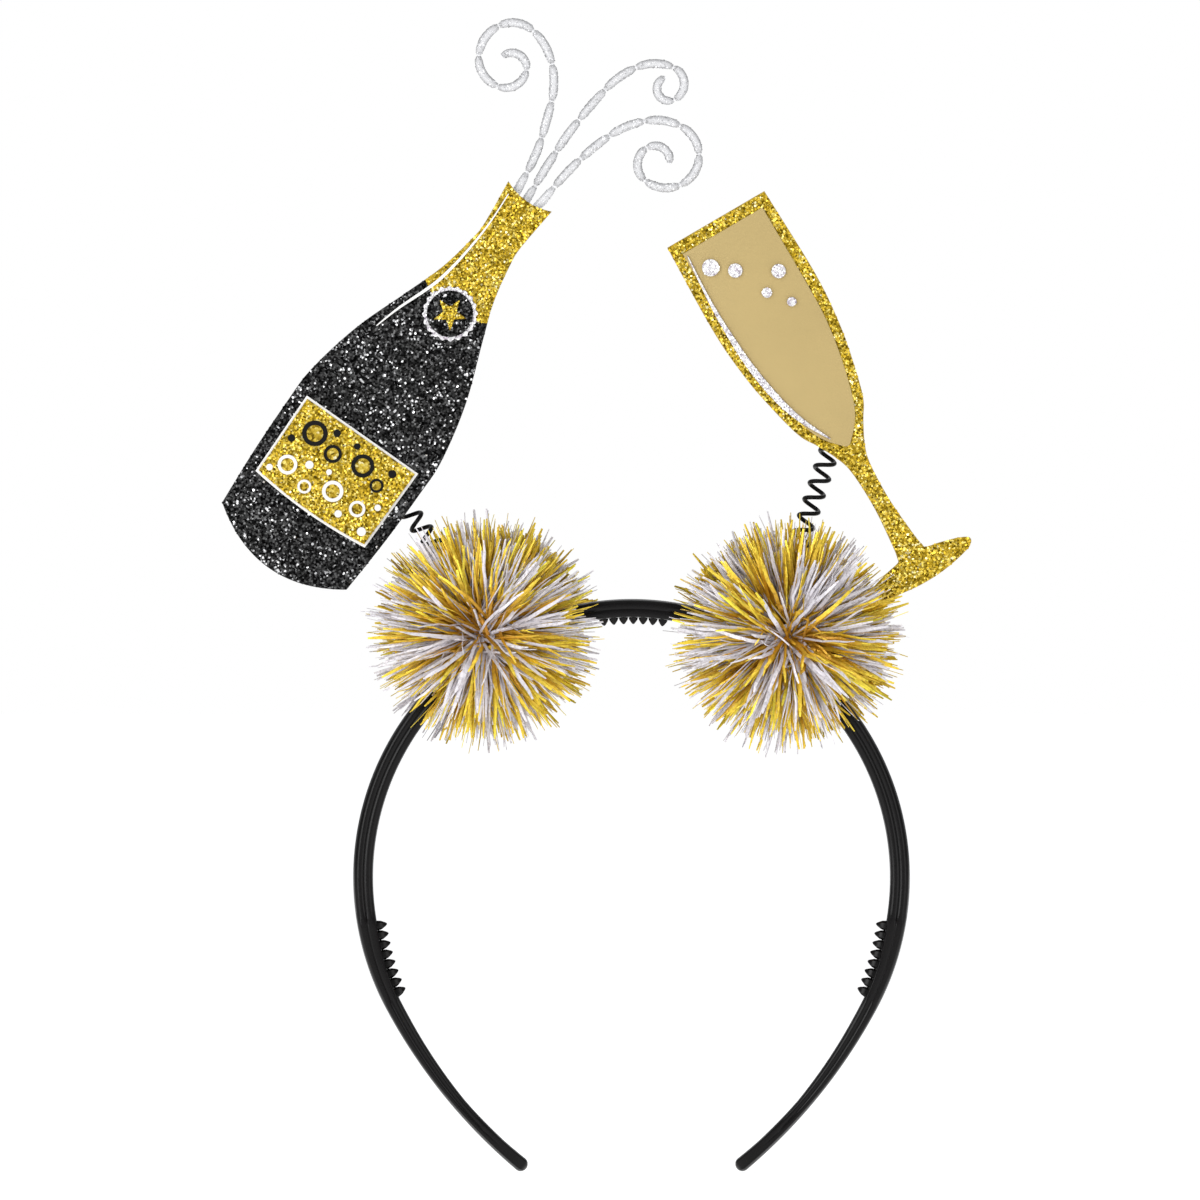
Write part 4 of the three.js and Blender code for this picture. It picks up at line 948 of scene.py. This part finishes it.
for seed, (name, wire) in enumerate(SPRAYS.items(), 31):
    rng = np.random.default_rng(seed)
    spine, along, swell, bulge = spray_line(*wire)
    radius = DASH_NECK + (DASH_HALF - DASH_NECK) * swell * (1 - DASH_BULGE * (1 - bulge))
    around = full_turn(WIRE_SIDES)
    tube = skin(spine[:, None] + radius[:, None, None] * round_about(along[:, None], around))
    at = rng.integers(1, len(spine) - 1, FLAKES_PER_DASH * len(wire[-1]))
    at = at[swell[at] > 0]
    turn = rng.uniform(0, 2 * np.pi, at.size)
    normals = round_about(along[at], turn)
    bits = flakes(spine[at] + (radius[at] - FLAKE_SUNK)[:, None] * normals, normals, SPRAY_FLAKE, rng)
    shape = stand_at(join(tube, bits), "bottle")
    spray = add_piece(f"{name}_wire", shape, [spray_film], "bottle", name, sharp=40)
    # Painted shade: the tube and its flakes darken towards the sides of each dash and at its ends, where a
    # round dash turns from the light.
    dash_end_painted_shade = np.maximum(DASH_END_PAINTED_SHADE * swell * (1 - swell), TAPER_PAINTED_SHADE * swell * (1 - bulge) ** 2)
    # Painted light: the first dash by the mouth is made lighter, against the shadow the board casts on it.
    root = np.clip(2 - 2 * np.arange(len(spine)) / STEPS_PER_DASH, 0, 1)
    rim = np.maximum(swell[:, None] * (1 - np.abs(np.sin(around))), dash_end_painted_shade[:, None])
    rim = rim * (1 - RIM_FADES * root[:, None])
    wrap = NECK_LIGHT - RIM_PAINTED_SHADE * rim + (ROOT_PAINTED_LIGHT * root - DASH_DARKER * swell)[:, None]
    flake_rim_painted_shade = np.maximum(1 - np.abs(np.sin(turn)), dash_end_painted_shade[at])
    # Each flake also takes a grey at random, a painted reflection on top of its real tilt.
    shade = rng.choice(FLAKE_GREYS_PAINTED_SHINE, at.size) * (1 - FLAKE_RIM_PAINTED_SHADE * flake_rim_painted_shade)
    shade = shade + FLAKE_ROOT_PAINTED_LIGHT * root[at]
    tints = np.concatenate([wrap.ravel(), np.repeat(shade, 7)])
    add_tint(spray, "flake_tint", tints[:, None] * SPRAY_GREY)

# Glass: die-cut foam board covered with gold glitter, with a champagne-coloured card for the drink, glitter
# bubbles on it, and a silver crescent for the light on the bowl.
CUTOUT_PLACE["glass"] = (70.2, 11.2, -30.3)
GLASS_SIDE = ((12.8, -0.85), (14.15, 0.25), (13.95, 1.5), (11.4, 2.7), (7.3, 3.85), (4, 4.6), (3.45, 5.6),
              (2.9, 9), (2.1, 19.4), (2.5, 29.1), (3.9, 33.9), (6.4, 38.8), (9.1, 43.6), (11.6, 53.3),
              (13.3, 63), (14.2, 76), (13.6, 98.7))
FOOT_SAG = 1.95
WINE_SIDE = ((0, 34.7), (3.9, 38.8), (6.5, 43.6), (9.1, 53.3), (10.7, 63), (11.2, 72.7), (11.2, 95.5))
WINE_FROM, WINE_SAG = 1 / 18, 0.6
BUBBLES = ((-7, 89.2, 2.1), (-2.2, 85.6, 1.75), (6.8, 80.2, 1.75), (1.7, 77.1, 1.25), (5.8, 72.2, 1.15))
BOWL_GLINT = ((-10.4, 94.5), (-11.3, 82.4), (-11.3, 72.7), (-10.7, 63), (-9, 53.3), (-6.6, 46), (-2.9, 38.8))
BOWL_GLINT_HALF = 0.85
gold_foam, wine_card = foam("gold_foam", (0.46, 0.31, 0.06)), card("wine_card", (0.478, 0.354, 0.138))

glass_outline = cut_outline(curve_through(GLASS_SIDE, 260), -FOOT_SAG, 0)
wine_outline = cut_outline(curve_through(WINE_SIDE, 160, WINE_FROM), -WINE_SAG, 0)
bowl_glint = glint_outline(BOWL_GLINT, BOWL_GLINT_HALF)
on_glass = (wine_outline, bowl_glint)
add_cutting("glass_board", glass_outline, "glass", gold_glitter, None, 0.29, 13, on_glass, board=gold_foam)
add_card("wine_panel", wine_outline, "glass", wine_card, 0)
for number, (u, up, radius) in enumerate(BUBBLES, 1):
    add_cutting(f"bubble_{number}", disc((u, up), radius), "glass", silver_glitter, 1, 0.24, 14 + number)
add_cutting("bowl_glint", bowl_glint, "glass", silver_glitter, 1, 0.22, 20, rounding=0.05)

# Holders: small black mouldings glued behind the boards, each a rounded block with a peg for the spring.
HOLDER_ACROSS, HOLDER_ALONG, HOLDER_PEG = 6.5, 8.0, 5.0
HOLDER_FRONT, HOLDER_BACK = -2.8, 2.6
HOLDER_EDGE = np.array([0, 0.1, 0.4, 0.9])
HOLDER_DRAWN_IN = np.array([0.7, 0.4, 0.15, 0])
PEG_HEIGHTS = (-HOLDER_PEG, -HOLDER_PEG + 0.1, -HOLDER_PEG + 0.4, -0.5, 0.0, 2.0)
PEG_RADII = (0.7, 1.1, 1.3, 1.3, 1.5, 1.5)
holder_plastic = satin_black("matt_black_plastic", (0.012, 0.012, 0.0125), 0.5, 2000.0, 0.14)


def holder_block(seat, axis):
    """A block as rounded rectangles stacked along the spring's axis, smaller at both ends."""
    turn = full_turn(40)
    blunt = rounded_square(turn, 7)
    height = np.concatenate([HOLDER_EDGE, HOLDER_ALONG - HOLDER_EDGE[::-1]])[:, None, None]
    drawn_in = np.concatenate([HOLDER_DRAWN_IN, HOLDER_DRAWN_IN[::-1]])[:, None]
    wide = (HOLDER_ACROSS / 2 - drawn_in) * blunt * np.cos(turn)
    deep = ((HOLDER_BACK - HOLDER_FRONT) / 2 - drawn_in) * blunt * np.sin(turn)
    middle = seat + (HOLDER_BACK + HOLDER_FRONT) / 2 * BACKWARDS
    return skin(middle + height * axis + wide[..., None] * sideways(axis) + deep[..., None] * BACKWARDS)


for side, cutout in (("left", "bottle"), ("right", "glass")):
    foot, axis = spring_axis(side)
    seat = foot + SPRING_LENGTH[side] * axis
    holder = join(holder_block(seat, axis), round_post(seat, axis, PEG_HEIGHTS, PEG_RADII))
    name = f"{cutout}_holder"
    add_piece(f"{name}_moulding", holder, [holder_plastic], cutout, name)

# Studio: a white table and an even white surround, with a tall soft box on the left, a weaker one on the
# right and a soft light from behind.
FRAME_WIDTH, FRAME_MIDDLE = 290.9, (-7.64, 4.24)
CAMERA_AWAY, SENSOR = 5000.0, 36.0
TABLE_HEIGHT, TABLE_HALF = -134.6, 20000.0
WHITE = (1, 1, 1, 1)
corner = TABLE_HALF * np.array([[-1, -1, 0], [1, -1, 0], [1, 1, 0], [-1, 1, 0]]) + [0, 0, TABLE_HEIGHT]
table_mesh = bpy.data.meshes.new("white_table")
table_mesh.from_pydata((corner * MM).tolist(), [], [[0, 1, 2, 3]])
table = put_in_scene("white_table", table_mesh)
table_white, table_shader, _, _ = new_material("white_table", 0.7)
table_shader.inputs["Base Color"].default_value = (0.86, 0.86, 0.86, 1)
table_shader.inputs["Emission Color"].default_value = WHITE
table_shader.inputs["Emission Strength"].default_value = 0.7
table_mesh.materials.append(table_white)

surround = bpy.data.worlds.new("white_surround")
surround.use_nodes = True
tree = surround.node_tree
light = tree.nodes["Background"]
light.inputs["Color"].default_value = (0.97, 0.985, 1, 1)
light.inputs["Strength"].default_value = 0.4
seen = tree.nodes.new("ShaderNodeBackground")
seen.inputs["Color"].default_value = WHITE
path, mix = tree.nodes.new("ShaderNodeLightPath"), tree.nodes.new("ShaderNodeMixShader")
tree.links.new(path.outputs["Is Camera Ray"], mix.inputs["Fac"])
tree.links.new(light.outputs["Background"], mix.inputs[1])
tree.links.new(seen.outputs["Background"], mix.inputs[2])
tree.links.new(mix.outputs["Shader"], tree.nodes["World Output"].inputs["Surface"])
bpy.context.scene.world = surround

for name, place, width, height, power in (
    ("key_light", (-0.8, -1.15, 0.45), 0.5, 1.8, 11.8),
    ("fill_light", (0.85, -1.1, 0.35), 0.5, 1.8, 5.0),
    ("back_light", (0.2, 1.2, 1.0), 0.8, 0.8, 1.6),
):
    lamp = bpy.data.lights.new(name, "AREA")
    lamp.shape = "RECTANGLE"
    lamp.size, lamp.size_y, lamp.energy = width, height, power
    stand = put_in_scene(name, lamp)
    stand.location = place
    stand.rotation_euler = Vector(place).to_track_quat("Z", "Y").to_euler()

lens = bpy.data.cameras.new("front_camera")
lens.sensor_width = SENSOR
lens.lens = SENSOR * CAMERA_AWAY / FRAME_WIDTH
lens.clip_end = 100
camera = put_in_scene("front_camera", lens)
camera.location = (FRAME_MIDDLE[0] * MM, -CAMERA_AWAY * MM, FRAME_MIDDLE[1] * MM)
camera.rotation_euler = (np.pi / 2, 0, 0)
bpy.context.scene.camera = camera
bpy.context.scene.view_settings.view_transform = "Standard"
